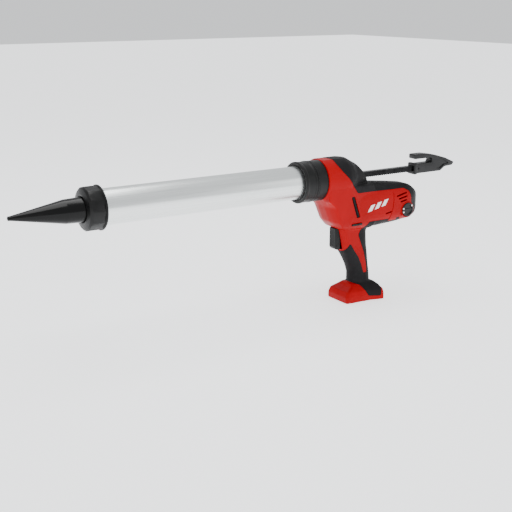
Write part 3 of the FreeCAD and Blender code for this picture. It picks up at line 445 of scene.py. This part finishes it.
def pull(piece, x=0, y=0, z=0):
    """Extrudes a flat outline into a closed block."""
    only(piece)
    bpy.ops.object.mode_set(mode="EDIT")
    bpy.ops.mesh.select_all(action="SELECT")
    bpy.ops.mesh.extrude_region_move(TRANSFORM_OT_translate={"value": Vector((x, y, z)) * MM})
    bpy.ops.mesh.select_all(action="SELECT")
    bpy.ops.mesh.normals_make_consistent(inside=False)
    bpy.ops.object.mode_set(mode="OBJECT")
    return piece


def slab(name, corners, low, high):
    """A block drawn in side view, from one place across the tool to another."""
    return pull(outline(name, corners, lambda x, z: at(x, low, z)), y=high - low)


def brick(name, x, y, z):
    """A plain block between two places along each axis."""
    corners = [(x[0], z[0], 0), (x[1], z[0], 0), (x[1], z[1], 0), (x[0], z[1], 0)]
    return slab(name, corners, *y)


def peg(name, radius, start, end, x=0, z=0, along="Y"):
    """A round bar along the tool, X, or across it, Y."""
    middle, length = (start + end) / 2, (end - start) * MM
    place = at(middle, 0, z) if along == "X" else at(x, middle, z)
    turn = (0, math.pi / 2, 0) if along == "X" else (math.pi / 2, 0, 0)
    bpy.ops.object.select_all(action="DESELECT")
    bpy.ops.mesh.primitive_cylinder_add(vertices=PEG_SIDES, radius=radius * MM, depth=length,
                                        location=place, rotation=turn)
    piece = bpy.context.object
    piece.name = piece.data.name = name
    bpy.ops.object.transform_apply()
    return piece


def spun(name, profile, steps=SPIN_STEPS):
    """A closed ring of revolution about the barrel's axis, from its section (x, radius, round)."""
    piece = outline(name, profile, lambda x, radius: at(x, 0, radius))
    only(piece)
    bpy.ops.object.mode_set(mode="EDIT")
    bpy.ops.mesh.select_all(action="SELECT")
    bpy.ops.mesh.delete(type="ONLY_FACE")
    bpy.ops.mesh.select_all(action="SELECT")
    bpy.ops.mesh.spin(steps=steps, angle=2 * math.pi, center=BARREL, axis=(1, 0, 0))
    bpy.ops.mesh.select_all(action="SELECT")
    bpy.ops.mesh.remove_doubles(threshold=WELD)
    bpy.ops.mesh.normals_make_consistent(inside=False)
    bpy.ops.object.mode_set(mode="OBJECT")
    return piece


def hand_over(piece, material, body, slot, *nodes):
    """Ends a piece: smooth up to its creases, finished, attached to its body, with the imported
    parts it replaces hidden.
    """
    only(piece)
    bpy.ops.object.shade_smooth_by_angle(angle=CREASE)
    piece.data.materials.clear()
    piece.data.materials.append(material)
    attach(piece, body)
    if nodes:
        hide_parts(*nodes)
    triangles = sum(len(face.vertices) - 2 for face in piece.data.polygons)
    print(piece.name, triangles, "triangles")
    return piece


print("shaping tools ready")

# %% [markdown]
# ## The nozzle
# A sealant nozzle is moulded in polypropylene: a long slim cone, a short neck and a wide flange
# that the cap clamps. All of it is round, so its section is drawn once and spun on the barrel's
# axis. The section runs up the bore and back down the outside, which gives the wall for free.

# %% Nozzle
nozzle = spun("spun_nozzle", [
    (-496, 1.8, 0), (-490, 1.8, 0), (-411, 16.5, 0), (-376.9, 17.7, 0), (-376.9, 27, 0.4),
    (-379.9, 27, 0.4), (-379.9, 19.5, 1.2), (-411, 18.3, 6), (-492, 3.6, 3), (-496, 3.3, 1.1),
])
hand_over(nozzle, gloss_polypropylene, "nozzle_set", "gloss_black", "nozzle")

# %% [markdown]
# ## The screw cap
# The cap must be gripped with a gloved hand, so its side has twelve broad flats in front of a
# round bead. Flats could be cut one at a time, but keeping what a twelve-sided bar and a round
# cap have in common makes all of them at once, with round corners left between them.

# %% Front cap
CAP_FLATS = 12
FLAT_HEIGHT = 33.1
FLATS_MIDDLE, FLATS_LENGTH = -372.2, 26.4
cap = spun("spun_front_cap", [
    (-384.5, 20.2, 0.5), (-380, 20.2, 0), (-380, 28.3, 0), (-355, 28.3, 0.4), (-355, 33.6, 0.8),
    (-356.2, 34.8, 0.8), (-357.8, 34.8, 0.5), (-358.6, 33.5, 0.4), (-359.6, 34.2, 0.4),
    (-379.5, 33.8, 1), (-382.6, 30.8, 1.2), (-384.5, 23, 1.5),
])
bpy.ops.object.select_all(action="DESELECT")
bpy.ops.mesh.primitive_cylinder_add(
    vertices=CAP_FLATS, radius=FLAT_HEIGHT / math.cos(math.pi / CAP_FLATS) * MM,
    depth=FLATS_LENGTH * MM, location=at(FLATS_MIDDLE, 0, 0), rotation=(0, math.pi / 2, 0))
grip_bar = bpy.context.object
bpy.ops.object.transform_apply()
combine(grip_bar, "UNION", peg("bead_room", 40, -359.1, -350, along="X"))
combine(cap, "INTERSECT", grip_bar)
hand_over(cap, black_nylon, "cap", "black_plastic", "front_cap")

# %% [markdown]
# ## The barrel and its collar
# The barrel is a plain extruded tube. Its two ends are broken with a small round, because a
# sharp edge looks like paper. The collar behind it is a moulded nylon ring with a rolled front
# lip and a slightly sunken band, and the nose of the gearbox continues it past a dark gap.

# %% Tube, collar and nose ring
tube = spun("spun_barrel_tube", [(-374, 26, 0.5), (20, 26, 0.5), (20, 28, 0.5), (-374, 28, 0.5)],
            steps=128)
hand_over(tube, extruded_aluminium, "barrel", "satin_aluminium", "barrel_tube")

collar = spun("spun_collar", [
    (0.4, 28.3, 0.4), (4, 28.3, 0), (4, 31.9, 0), (24, 31.9, 0), (24, 34.6, 0.4),
    (23, 35.5, 0.5), (20.4, 35.5, 0.6), (18.6, 34.8, 1), (6.4, 34.8, 1), (4, 35.5, 1),
    (1.4, 35.5, 1), (0, 34, 0.8), (0, 31.2, 0.5), (1.3, 30.7, 0.3), (1.3, 29.6, 0.3),
    (0.4, 29.3, 0.3),
])
hand_over(collar, black_nylon, "collar", "black_plastic", "barrel_collar")

nose = spun("spun_nose_ring", [
    (7.6, 28.3, 0), (21.5, 28.3, 0), (21.5, 12, 0), (45.9, 12, 0), (45.9, 35, 0), (28, 35, 0.5),
    (27.2, 34.2, 0.3), (26.4, 35, 0.4), (24.4, 35, 0.5), (24.4, 31.6, 0), (7.6, 31.6, 0),
])
hand_over(nose, black_nylon, "body", "black_plastic", "nose_ring")

# %% [markdown]
# ## The hanging hook
# At the rod's end sits a moulded hook, which hangs the gun on a rail and pulls the rod back by
# hand. It is drawn flat in side view and pulled to its thickness. All its edges are rounded by
# a bevel, because a hand pulls on them. A raised band closes the socket, and the broad rear
# has a shallow pocket on both sides, as thick mouldings do, to cool evenly.

# %% Rod hook
hook = slab("moulded_rod_hook", [
    (258, -9, 1), (322, -9, 8), (332, -2, 8), (350, -1, 2.5), (355.5, 4.5, 2), (333, 14.5, 40),
    (306, 22.5, 40), (282, 26.5, 20), (258, 26.5, 2.5), (258, 17.6, 2.5), (300, 17.6, 4.2),
    (300, 8.8, 4.2), (258, 8.8, 1),
], -8.6, 8.6)
soften(hook, 2.0, angle_limit=math.radians(50))
band = brick("socket_band", (257, 264.5), (-10.2, 10.2), (-10.4, 10.4))
soften(band, 2.2)
combine(hook, "UNION", band)
POCKET = [(311, -4.5, 3), (321, -4.5, 4), (331, 2.2, 4), (343, 3.2, 1.5), (331, 10.6, 6),
          (312, 17, 4)]
combine(hook, "DIFFERENCE",
        slab("near_pocket", POCKET, -12, -6.8), slab("far_pocket", POCKET, 6.8, 12),
        brick("rod_socket", (250, 300.3), (-5.05, 5.05), (-5.05, 5.05)),
        peg("pin_hole", 2, -15, 15, x=268))
hand_over(hook, black_acetal, "rod", "black_plastic", "rod_hook")

# %% [markdown]
# ## One flowing body
# The housing looks like one lump: a hump over the end of the barrel, a motor housing behind,
# a leaning handle and a flared foot, with soft fillets wherever they meet. Those fillets are
# hard to draw by hand. Here each part is built roughly and simply, all are joined, a voxel
# remesh fuses them into one skin, and smoothing melts the seams into fillets. The foot is
# smoothed less than the rest, so that it keeps its edges. Blocks drawn later then cut the skin
# as a mould's slides would.

# %% Rough parts of the body
def loft(name, axis, stations, spot):
    """A closed form through flat rings; each station is its place and its outline's corners."""
    rings = [outline(f"{name}_{i}", corners, lambda a, b, place=place: spot(place, a, b))
             for i, (place, corners) in enumerate(stations)]
    only(*rings)
    bpy.ops.object.join()
    piece = bpy.context.object
    levels = [spot(place, 0, 0)[axis] for place, corners in stations]
    bpy.ops.object.mode_set(mode="EDIT")
    bpy.ops.mesh.select_mode(type="VERT")
    bpy.ops.mesh.select_all(action="SELECT")
    bpy.ops.mesh.delete(type="ONLY_FACE")
    for lower, upper in zip(levels, levels[1:]):
        pick_points(piece, lambda place: min(abs(place[axis] - lower),
                                             abs(place[axis] - upper)) < WELD)
        bpy.ops.mesh.bridge_edge_loops()
    for level in (levels[0], levels[-1]):
        pick_points(piece, lambda place: abs(place[axis] - level) < WELD)
        bpy.ops.mesh.edge_face_add()
    bpy.ops.mesh.select_all(action="SELECT")
    bpy.ops.mesh.normals_make_consistent(inside=False)
    bpy.ops.object.mode_set(mode="OBJECT")
    return piece


# the motor housing: place along the tool, half width, underside, top, corner radius
MOTOR = [(96, 32.5, -94, -12, 26), (165, 32.5, -93, -14, 26), (200, 32, -91, -18, 25),
         (232, 30.5, -88.8, -22.3, 24), (245, 25, -87, -26, 20), (255, 18, -84.5, -32, 15),
         (263, 10, -79, -38, 9), (267, 4.5, -71, -46, 4)]
motor_part = loft("motor_part", 0, [
    (x, [(-half, low, corner), (half, low, corner), (half, top, corner), (-half, top, corner)])
    for x, half, low, top, corner in MOTOR], lambda x, y, z: at(x, y, z))

# the handle: height, front, back, half width
HANDLE = [(-84, 84, 152, 19), (-100, 88.5, 148.5, 18), (-126, 93.5, 151.5, 16.5),
          (-135, 99, 153.5, 16), (-147, 106.4, 155.5, 15.5), (-161, 113.2, 157.5, 15.2),
          (-175, 118, 160, 15.2), (-190, 118.5, 161, 15.8), (-208, 118, 162, 17)]
HANDLE_CORNER = 14.8
handle_part = loft("handle_part", 2, [
    (z, [(front, -half, HANDLE_CORNER), (back, -half, HANDLE_CORNER), (back, half, HANDLE_CORNER),
         (front, half, HANDLE_CORNER)])
    for z, front, back, half in HANDLE], lambda z, x, y: at(x, y, z))

# the foot: height, front, rear, and its half width at the front, middle and rear
FOOT = [(-225, 94.5, 173.5, 29.5, 32, 39), (-214, 94.5, 173.5, 29.5, 32, 39),
        (-205.5, 98, 172, 27.5, 30, 37.5), (-199, 110, 168, 21, 23, 28),
        (-194, 115, 163, 15.5, 17, 18)]
FOOT_MIDDLE, FOOT_CORNER = 146, 4
foot_part = loft("foot_part", 2, [
    (z, [(front, -a, FOOT_CORNER), (FOOT_MIDDLE, -b, FOOT_CORNER), (rear, -c, FOOT_CORNER),
         (rear, c, FOOT_CORNER), (FOOT_MIDDLE, b, FOOT_CORNER), (front, a, FOOT_CORNER)])
    for z, front, rear, a, b, c in FOOT], lambda z, x, y: at(x, y, z))

# the hump: one side view for each place across the tool; its lower front, the chin, draws back
# from the middle to the flanks, along a rounded line
CHIN_DEPTH, CHIN_ROUND = 23, 40
HUMP_PLACES = (-38, -34, -28, -20, -10, 10, 20, 28, 34, 38)


def hump_outline(y):
    """The hump's side view at this place across the tool."""
    back = CHIN_DEPTH * (1 - math.sqrt(1 - (y / CHIN_ROUND) ** 2))
    return [(45, 36, 3), (104, 35.8, 14), (119, 24, 30), (146, -9.5, 6), (160, -40, 0),
            (150, -94, 0), (83 + 0.4 * back, -89.5, 12), (66 + back, -74, 14),
            (54 + back, -46, 12), (45, -31, 3)]


hump_part = loft("hump_part", 1, [(y, hump_outline(y)) for y in HUMP_PLACES],
                 lambda y, x, z: at(x, y, z))
# seen from behind it is an arch: a bar that thins towards the tail, over two leaning flanks
arch = spun("arch", [
    (30, 0, 0), (30, 38, 0), (92, 38, 10), (102, 34.5, 0), (112, 28.5, 0), (126, 23.5, 20),
    (146, 15, 0), (170, 15, 0), (170, 0, 0),
])
flanks = pull(outline("flanks", [(-36, -12, 0), (-30, -94, 20), (30, -94, 20), (36, -12, 0)],
                      lambda y, z: at(48, y, z)), x=122)
taper = pull(outline("taper", [
    (40, -37, 0), (84, -37, 30), (114, -32.5, 20), (172, -27, 0),
    (172, 27, 0), (114, 32.5, 20), (84, 37, 30), (40, 37, 0),
], lambda x, y: at(x, y, -100)), z=120)
combine(flanks, "INTERSECT", taper)
combine(arch, "UNION", flanks)
combine(hump_part, "INTERSECT", arch)
print("four rough parts")


# %% One smooth form, and smaller copies of it for the walls
FORM_VOXEL = 1.2
EVEN_PASSES, BODY_PASSES, PASS_FACTOR = 5, 7, 0.5
FOOT_TOP = -190
COVER_DEPTH = 1.6        # how far the soft cover is let into the red
WALL_STEP, WALL_VOXEL = 2.0, 2.2
POCKET_FLOOR = -209      # the shells are solid below this, around the battery's pocket


def shrunk(piece, name, step, times, voxel):
    """A copy whose faces lie further in, moved in small steps so that it never folds."""
    copy = twin(piece, name)
    for i in range(times):
        swell(copy, -step)
        apply(copy, "REMESH", mode="VOXEL", voxel_size=voxel * MM)
    return copy


only(hump_part, motor_part, handle_part, foot_part)
bpy.ops.object.join()
form = bpy.context.object
form.name = form.data.name = "body_form"
apply(form, "REMESH", mode="VOXEL", voxel_size=FORM_VOXEL * MM)
apply(form, "SMOOTH", factor=PASS_FACTOR, iterations=EVEN_PASSES)
only(form)
bpy.ops.object.mode_set(mode="EDIT")
pick_points(form, lambda place: place.z > at(0, 0, FOOT_TOP).z)
form.vertex_groups.new(name="above_foot")
bpy.ops.object.vertex_group_assign()
bpy.ops.object.mode_set(mode="OBJECT")
apply(form, "SMOOTH", factor=PASS_FACTOR, iterations=BODY_PASSES, vertex_group="above_foot")
under_cover = shrunk(form, "under_cover", COVER_DEPTH, 1, COVER_DEPTH)
hollow = shrunk(form, "hollow", WALL_STEP, 2, WALL_VOXEL)
combine(hollow, "DIFFERENCE", brick("foot_floor", (80, 200), THROUGH, (-240, POCKET_FLOOR)))
print(len(form.data.polygons), "faces on the form,", len(hollow.data.polygons), "on the hollow")

# %% [markdown]
# ## Openings
# Room for the barrel's neck, a window for the rod, the trigger's slot, the battery pocket, the
# vents and the holes for dial, button and screws go through every layer alike. They are fused
# into one cutter first, so that the layers are each cut once and their edges line up exactly.

# %% One cutter for all openings
# the vents: place along the tool, height of the front end, and length
VENTS = [(199, -41.5, 25), (203.5, -47, 21), (208.5, -52.5, 15), (174, -70, 14)]
VENT_SLOPE, VENT_HEIGHT = 0.17, 2.6
# the screws: place along the tool, height, and how far their heads stand out to the right
SCREWS = [(58, 27, 23.5), (119, 15.6, 19), (150, -88, 18.5), (241, -33.5, 20), (243, -74, 20),
          (109, -140, 10), (150, -180, 12), (127, -183, 11)]
HEAD_DEPTH = 2.6
DIAL = (224.5, -67)      # the speed dial's middle: place along the tool and height
LOCK = [(99.6, -82.6, 1.7), (122.4, -82.6, 1.7), (122.4, -78.6, 1.7), (99.6, -78.6, 1.7)]


def vent(x, z, length, side):
    """A slanted cooling slot in one side."""
    rise = VENT_SLOPE * length
    corners = [(x, z, 1), (x + length, z + rise, 1), (x + length, z + rise + VENT_HEIGHT, 1),
               (x, z + VENT_HEIGHT, 1)]
    return slab("vent", corners, *sorted((side * 20, side * 50)))


cutter = peg("openings", 35.3, 30, 46.1, along="X")
combine(
    cutter, "UNION",
    peg("neck_room", 27, 40, 54, along="X"),
    brick("rod_window", (100, 175), (-5.7, 5.7), (-5.7, 5.7)),
    brick("trigger_slot", (70, 101), (-9.4, 9.4), (-128.2, -87.8)),
    brick("battery_pocket", (108, 200), (-24, 24), (-221, -213)),
    brick("rail_mouth", (108, 200), (-20.5, 20.5), (-240, -220.9)),
    slab("lock_hole", LOCK, -50, 50),
    peg("dial_room", 13, -60, -23.6, *DIAL),
    peg("dial_hole", 3.1, -30, -10, *DIAL),
    *[vent(x, z, length, side) for x, z, length in VENTS for side in (-1, 1)],
    *[peg("screw_room", 3.5, head - HEAD_DEPTH, 60, x, z) for x, z, head in SCREWS],
)
print(len(cutter.data.polygons), "faces on the cutter")

# %% [markdown]
# ## The red shells
# The body is two red clamshells that meet at a fine seam down the middle. Where the soft cover
# lies, the red is sunk by the cover's thickness, and a narrow groove shows around it. A raised
# ridge runs down each side of the motor housing and flares at its foot.

# %% Red shells
COVER_BACK = [
    (66, 45, 0), (67.5, 29, 8), (74, 18, 8), (87, 3.5, 12), (101, -14, 8), (109, -24.5, 5),
    (219, -27.8, 6), (230, -33.5, 6), (234.5, -46, 8), (236, -100, 0), (290, -100, 0),
    (290, 45, 0),
]
COVER_GRIP = [
    (132, -89, 4), (139, -79, 4), (212, -79.6, 4), (220, -110, 0), (200, -150, 0),
    (182, -190, 0), (168, -199, 0), (165.5, -218, 3), (141.5, -216, 4), (130, -196.5, 5),
    (112, -190.5, 4), (70, -188, 0), (80, -138, 0), (96.5, -133, 4), (108.5, -117, 3),
    (119, -133, 8), (129, -146, 8), (135.5, -160, 8), (141, -176, 2), (148, -176, 2),
    (147, -161, 8), (140, -138, 8), (131.5, -119, 8), (124.5, -103, 6),
]
SIDE_SLOT = [(94.4, -29, 2), (102.4, -29.4, 2), (117, -68.2, 2), (109.2, -68.6, 2)]
RIDGE = [(192.4, -32, 0.8), (194.6, -32, 0.8), (194.4, -56, 8), (203, -84, 1), (184, -84, 1),
         (191.6, -56, 8)]
RIDGE_HEIGHT = 0.8
HALF_SEAM = 0.12


def raised(name, height, corners, low, high):
    """A patch that stands this high over the form, cut to a drawing in side view."""
    patch = swell(twin(form, name), height)
    return combine(patch, "INTERSECT", slab("patch_edge", corners, low, high))


def halves(piece, name):
    """The parts left and right of the seam, by hand, in place of the piece itself."""
    sides = {}
    for hand, span in (("left", (-80, -HALF_SEAM)), ("right", (HALF_SEAM, 80))):
        sides[hand] = combine(twin(piece, f"{hand}_{name}"), "INTERSECT",
                              brick("half_space", (-20, 320), span, (-260, 80)))
    bpy.data.objects.remove(piece)
    return sides


shell = twin(form, "shell")
sunk = slab("sunk_for_cover", COVER_BACK, *THROUGH)
combine(sunk, "UNION", slab("sunk_for_grip", COVER_GRIP, *THROUGH))
combine(sunk, "DIFFERENCE", peg("dial_patch", 15.9, -60, -10, *DIAL),
        twin(under_cover, "red_floor"))
combine(shell, "DIFFERENCE", sunk)
combine(shell, "UNION", raised("ridges", RIDGE_HEIGHT, RIDGE, *THROUGH))
combine(shell, "DIFFERENCE", twin(hollow, "inside"), slab("slot_hole", SIDE_SLOT, *THROUGH))
bezel = peg("bezel", 14.5, -32.4, -21.2, *DIAL)
soften(bezel, 1.2)
combine(shell, "UNION", bezel)
combine(shell, "DIFFERENCE", twin(cutter, "shell_openings"))
for hand, side in halves(shell, "red_shell").items():
    hand_over(side, red_abs, "body", "red_plastic", f"{hand}_housing")

# %% [markdown]
# ## The soft cover
# The black elastomer is moulded over the red in a second shot. It is the skin between the form,
# swollen a little so that it stands proud, and the smaller copy of the form, cut to the cover's
# outline. The outline is drawn in slightly, which leaves the dark groove around it.

# %% Soft cover on back and grip
PROUD, GROOVE = 0.35, 0.35
for label, drawing, node in (("body_cover", COVER_BACK, "body_overmould"),
                             ("grip_cover", COVER_GRIP, "grip_overmould")):
    area = swell(slab("cover_area", drawing, *THROUGH), -GROOVE)
    cover = swell(twin(form, label), PROUD)
    combine(cover, "INTERSECT", area)
    combine(cover, "DIFFERENCE", twin(hollow, "inside"), twin(cutter, "cover_openings"),
            peg("dial_patch", 16.3, -60, -10, *DIAL))
    for hand, side in halves(cover, label).items():
        hand_over(side, soft_cover, "body", "soft_black", f"{hand}_{node}")

# %% [markdown]
# ## The gearbox casting
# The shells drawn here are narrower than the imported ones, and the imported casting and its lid
# would cut up to 3.5 mm into their walls, most of all at the chin. So a copy of each is trimmed
# to the room inside the shells. That hides a misfit between the two models and does not repair
# it: the mechanism would have to be packed smaller.

# %% Trimmed casting and its lid
for label in ("gearbox_housing", "gearbox_cover"):
    casting = packed_twin(f"trimmed_{label}", label)
    only(casting)
    bpy.ops.object.mode_set(mode="EDIT")
    bpy.ops.mesh.select_all(action="SELECT")
    bpy.ops.mesh.remove_doubles(threshold=WELD)
    bpy.ops.object.mode_set(mode="OBJECT")
    combine(casting, "INTERSECT", twin(hollow, "room_inside"))
    hand_over(casting, cast_aluminium, "body", "cast_aluminium", label)

# %% [markdown]
# ## Slots, prints and screws on the shells
# Small things tell the eye that a tool is real. A slanted slot in each side holds a black strip
# with a raised rib. Three plain white bars are printed where a maker would put a name. On the
# right side, sunk screws with six-lobed sockets hold the shells together: one is modelled and
# copied to each boss.

# %% Side strips
SIDE_RIB = [(97.4, -32, 1.2), (99.8, -32, 1.2), (114, -65.5, 1.2), (111.6, -65.5, 1.2)]
STRIP_DEPTH = 1.6
strip = slab("side_strip", SIDE_SLOT, *THROUGH)
combine(strip, "INTERSECT", twin(under_cover, "strip_floor"))
rib = slab("strip_rib", SIDE_RIB, *THROUGH)
combine(strip, "UNION", combine(rib, "INTERSECT", twin(form, "rib_top")))
combine(strip, "DIFFERENCE", swell(twin(under_cover, "strip_back"), -STRIP_DEPTH))
for hand, side in halves(strip, "side_strip").items():
    hand_over(side, soft_cover, "body", "soft_black", f"{hand}_side_insert")

# %% Printed bars
BARS = [(133, -61), (148, -57.8), (163, -54.6)]
INK = 0.14
for hand, span in (("left", (-60, -10)), ("right", (10, 60))):
    bars = [raised("bar", INK, [(x, z, 0.4), (x + 9, z + 1.6, 0.4), (x + 16, z + 13, 0.4),
                                (x + 7, z + 11.4, 0.4)], *span) for x, z in BARS]
    only(*bars)
    bpy.ops.object.join()
    printed = bpy.context.object
    printed.name = f"{hand}_printed_bars"
    combine(printed, "DIFFERENCE", twin(form, "printed_on"))
    hand_over(printed, white_print, "body", "grey_plastic")

# %% Shell screws
LOBES = 6
HEAD_RADIUS, SHANK_RADIUS = 3.3, 1.6
LOBE_TIP, LOBE_ROOT = 1.9, 1.25
screw = soften(peg("shell_screw", HEAD_RADIUS, -HEAD_DEPTH, 0), 0.6)
socket = []
for i in range(2 * LOBES):
    angle, reach = math.pi * i / LOBES, LOBE_TIP if i % 2 == 0 else LOBE_ROOT
    socket.append((reach * math.cos(angle), reach * math.sin(angle), 0.3))
combine(screw, "DIFFERENCE", slab("socket", socket, -1.5, 1))
screws = []
for x, z, head in SCREWS:
    copy = twin(screw, "screw")
    combine(copy, "UNION", peg("shank", SHANK_RADIUS, 6 - 2 * head, -2.5))
    copy.location = Vector((x, head, z)) * MM
    screws.append(copy)
bpy.data.objects.remove(screw)
only(*screws)
bpy.ops.object.transform_apply()
bpy.ops.object.join()
bpy.context.object.name = "shell_screws"
hand_over(bpy.context.object, black_oxide, "body", "rod_steel", "housing_screws")

# %% [markdown]
# ## What the hand works
# The trigger is a rounded pad with upright flutes for grip, so it is drawn in side view, rounded
# all over, and fluted by thin pegs. The spring behind it has to shorten as it is pulled; here it
# is a plain copy of the imported spring. The lock-off button slides through the handle's root
# and shows as a slim ribbed bar on each side. The speed dial lies in the rear corner of the left
# side: a knurled wheel with a raised bar and three white marks.

# %% Trigger
FLUTES = [(80.1, -4.4), (80.1, -1.5), (80.1, 1.5), (80.1, 4.4),
          (84.2, -8.9), (87.4, -8.9), (84.2, 8.9), (87.4, 8.9)]
FLUTE_RADIUS, FLUTE_LENGTH, FLUTE_MIDDLE = 0.95, 30, -107
trigger = slab("fluted_trigger", [(80.6, -88.6, 1), (80.4, -128, 7), (92, -128, 2),
                                  (92, -88.6, 1)], -8.6, 8.6)
soften(trigger, 2.4, segments=4, angle_limit=math.radians(50))
flutes = []
for x, y in FLUTES:
    bpy.ops.object.select_all(action="DESELECT")
    bpy.ops.mesh.primitive_cylinder_add(vertices=16, radius=FLUTE_RADIUS * MM,
                                        depth=FLUTE_LENGTH * MM, location=at(x, y, FLUTE_MIDDLE))
    bpy.ops.object.transform_apply()
    flutes.append(bpy.context.object)
combine(trigger, "DIFFERENCE", *flutes)
combine(trigger, "UNION", brick("stem", (85, 98), (-6, 6), (-112, -94)))
hand_over(trigger, black_nylon, "trigger", "black_plastic", "trigger")

# %% Trigger spring
spring = packed_twin("return_spring", "trigger_spring")
hand_over(spring, ground_steel, "body", "gear_steel", "trigger_spring")
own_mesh(spring)

# %% Lock-off button
button = slab("lock_button", [(100.1, -82.3, 1.5), (121.9, -82.3, 1.5), (121.9, -78.9, 1.5),
                              (100.1, -78.9, 1.5)], -33, 33)
soften(button, 0.9)
ribs = [brick("groove", (x, x + 1), (y, y + 1.4), (-84, -74))
        for x in (106, 109, 112, 115) for y in (-33.8, 32.4)]
combine(button, "DIFFERENCE", *ribs)
combine(button, "DIFFERENCE", brick("middle_room", (90, 130), (-17.5, 17.5), (-81, -70)))
hand_over(button, black_acetal, "lock", "black_plastic", "lock_off_button")

# %% Speed dial
KNURLS, KNURL_RING, KNURL_RADIUS = 20, 12.7, 0.9
GRIP_REACH, GRIP_HALF = 8.6, 1.9
MARK_ANGLES, MARK_RING, MARK_RADIUS = (165, 200, 40), 10.9, 1.45


def around_dial(name, radius, start, end, ring, angle):
    """A peg across the tool, on a ring around the dial's middle."""
    return peg(name, radius, start, end, DIAL[0] + ring * math.cos(angle),
               DIAL[1] + ring * math.sin(angle))


dial = soften(peg("knurled_dial", 12.6, -34, -24, *DIAL), 1.0)
combine(dial, "DIFFERENCE", *[
    around_dial("notch", KNURL_RADIUS, -36, -28, KNURL_RING, 2 * math.pi * i / KNURLS)
    for i in range(KNURLS)])
dish = peg("dish", 9.4, -36, -32.4, *DIAL)
grip = brick("grip_bar", (DIAL[0] - GRIP_REACH, DIAL[0] + GRIP_REACH), (-35, -30),
             (DIAL[1] - GRIP_HALF, DIAL[1] + GRIP_HALF))
combine(dish, "DIFFERENCE", soften(grip, 0.8, segments=2))
combine(dial, "DIFFERENCE", dish)
combine(dial, "UNION", peg("dial_stem", 3, -26, -19.5, *DIAL))
hand_over(dial, black_acetal, "dial", "black_plastic", "speed_dial")

only(*[around_dial("mark", MARK_RADIUS, -34.25, -33.6, MARK_RING, math.radians(degrees))
       for degrees in MARK_ANGLES])
bpy.ops.object.join()
marks = bpy.context.object
marks.name = "dial_marks"
soften(marks, 0.15, segments=2)
hand_over(marks, white_print, "dial", "grey_plastic")

# %% Clear up the helpers
for helper in (form, under_cover, hollow, cutter):
    bpy.data.objects.remove(helper)
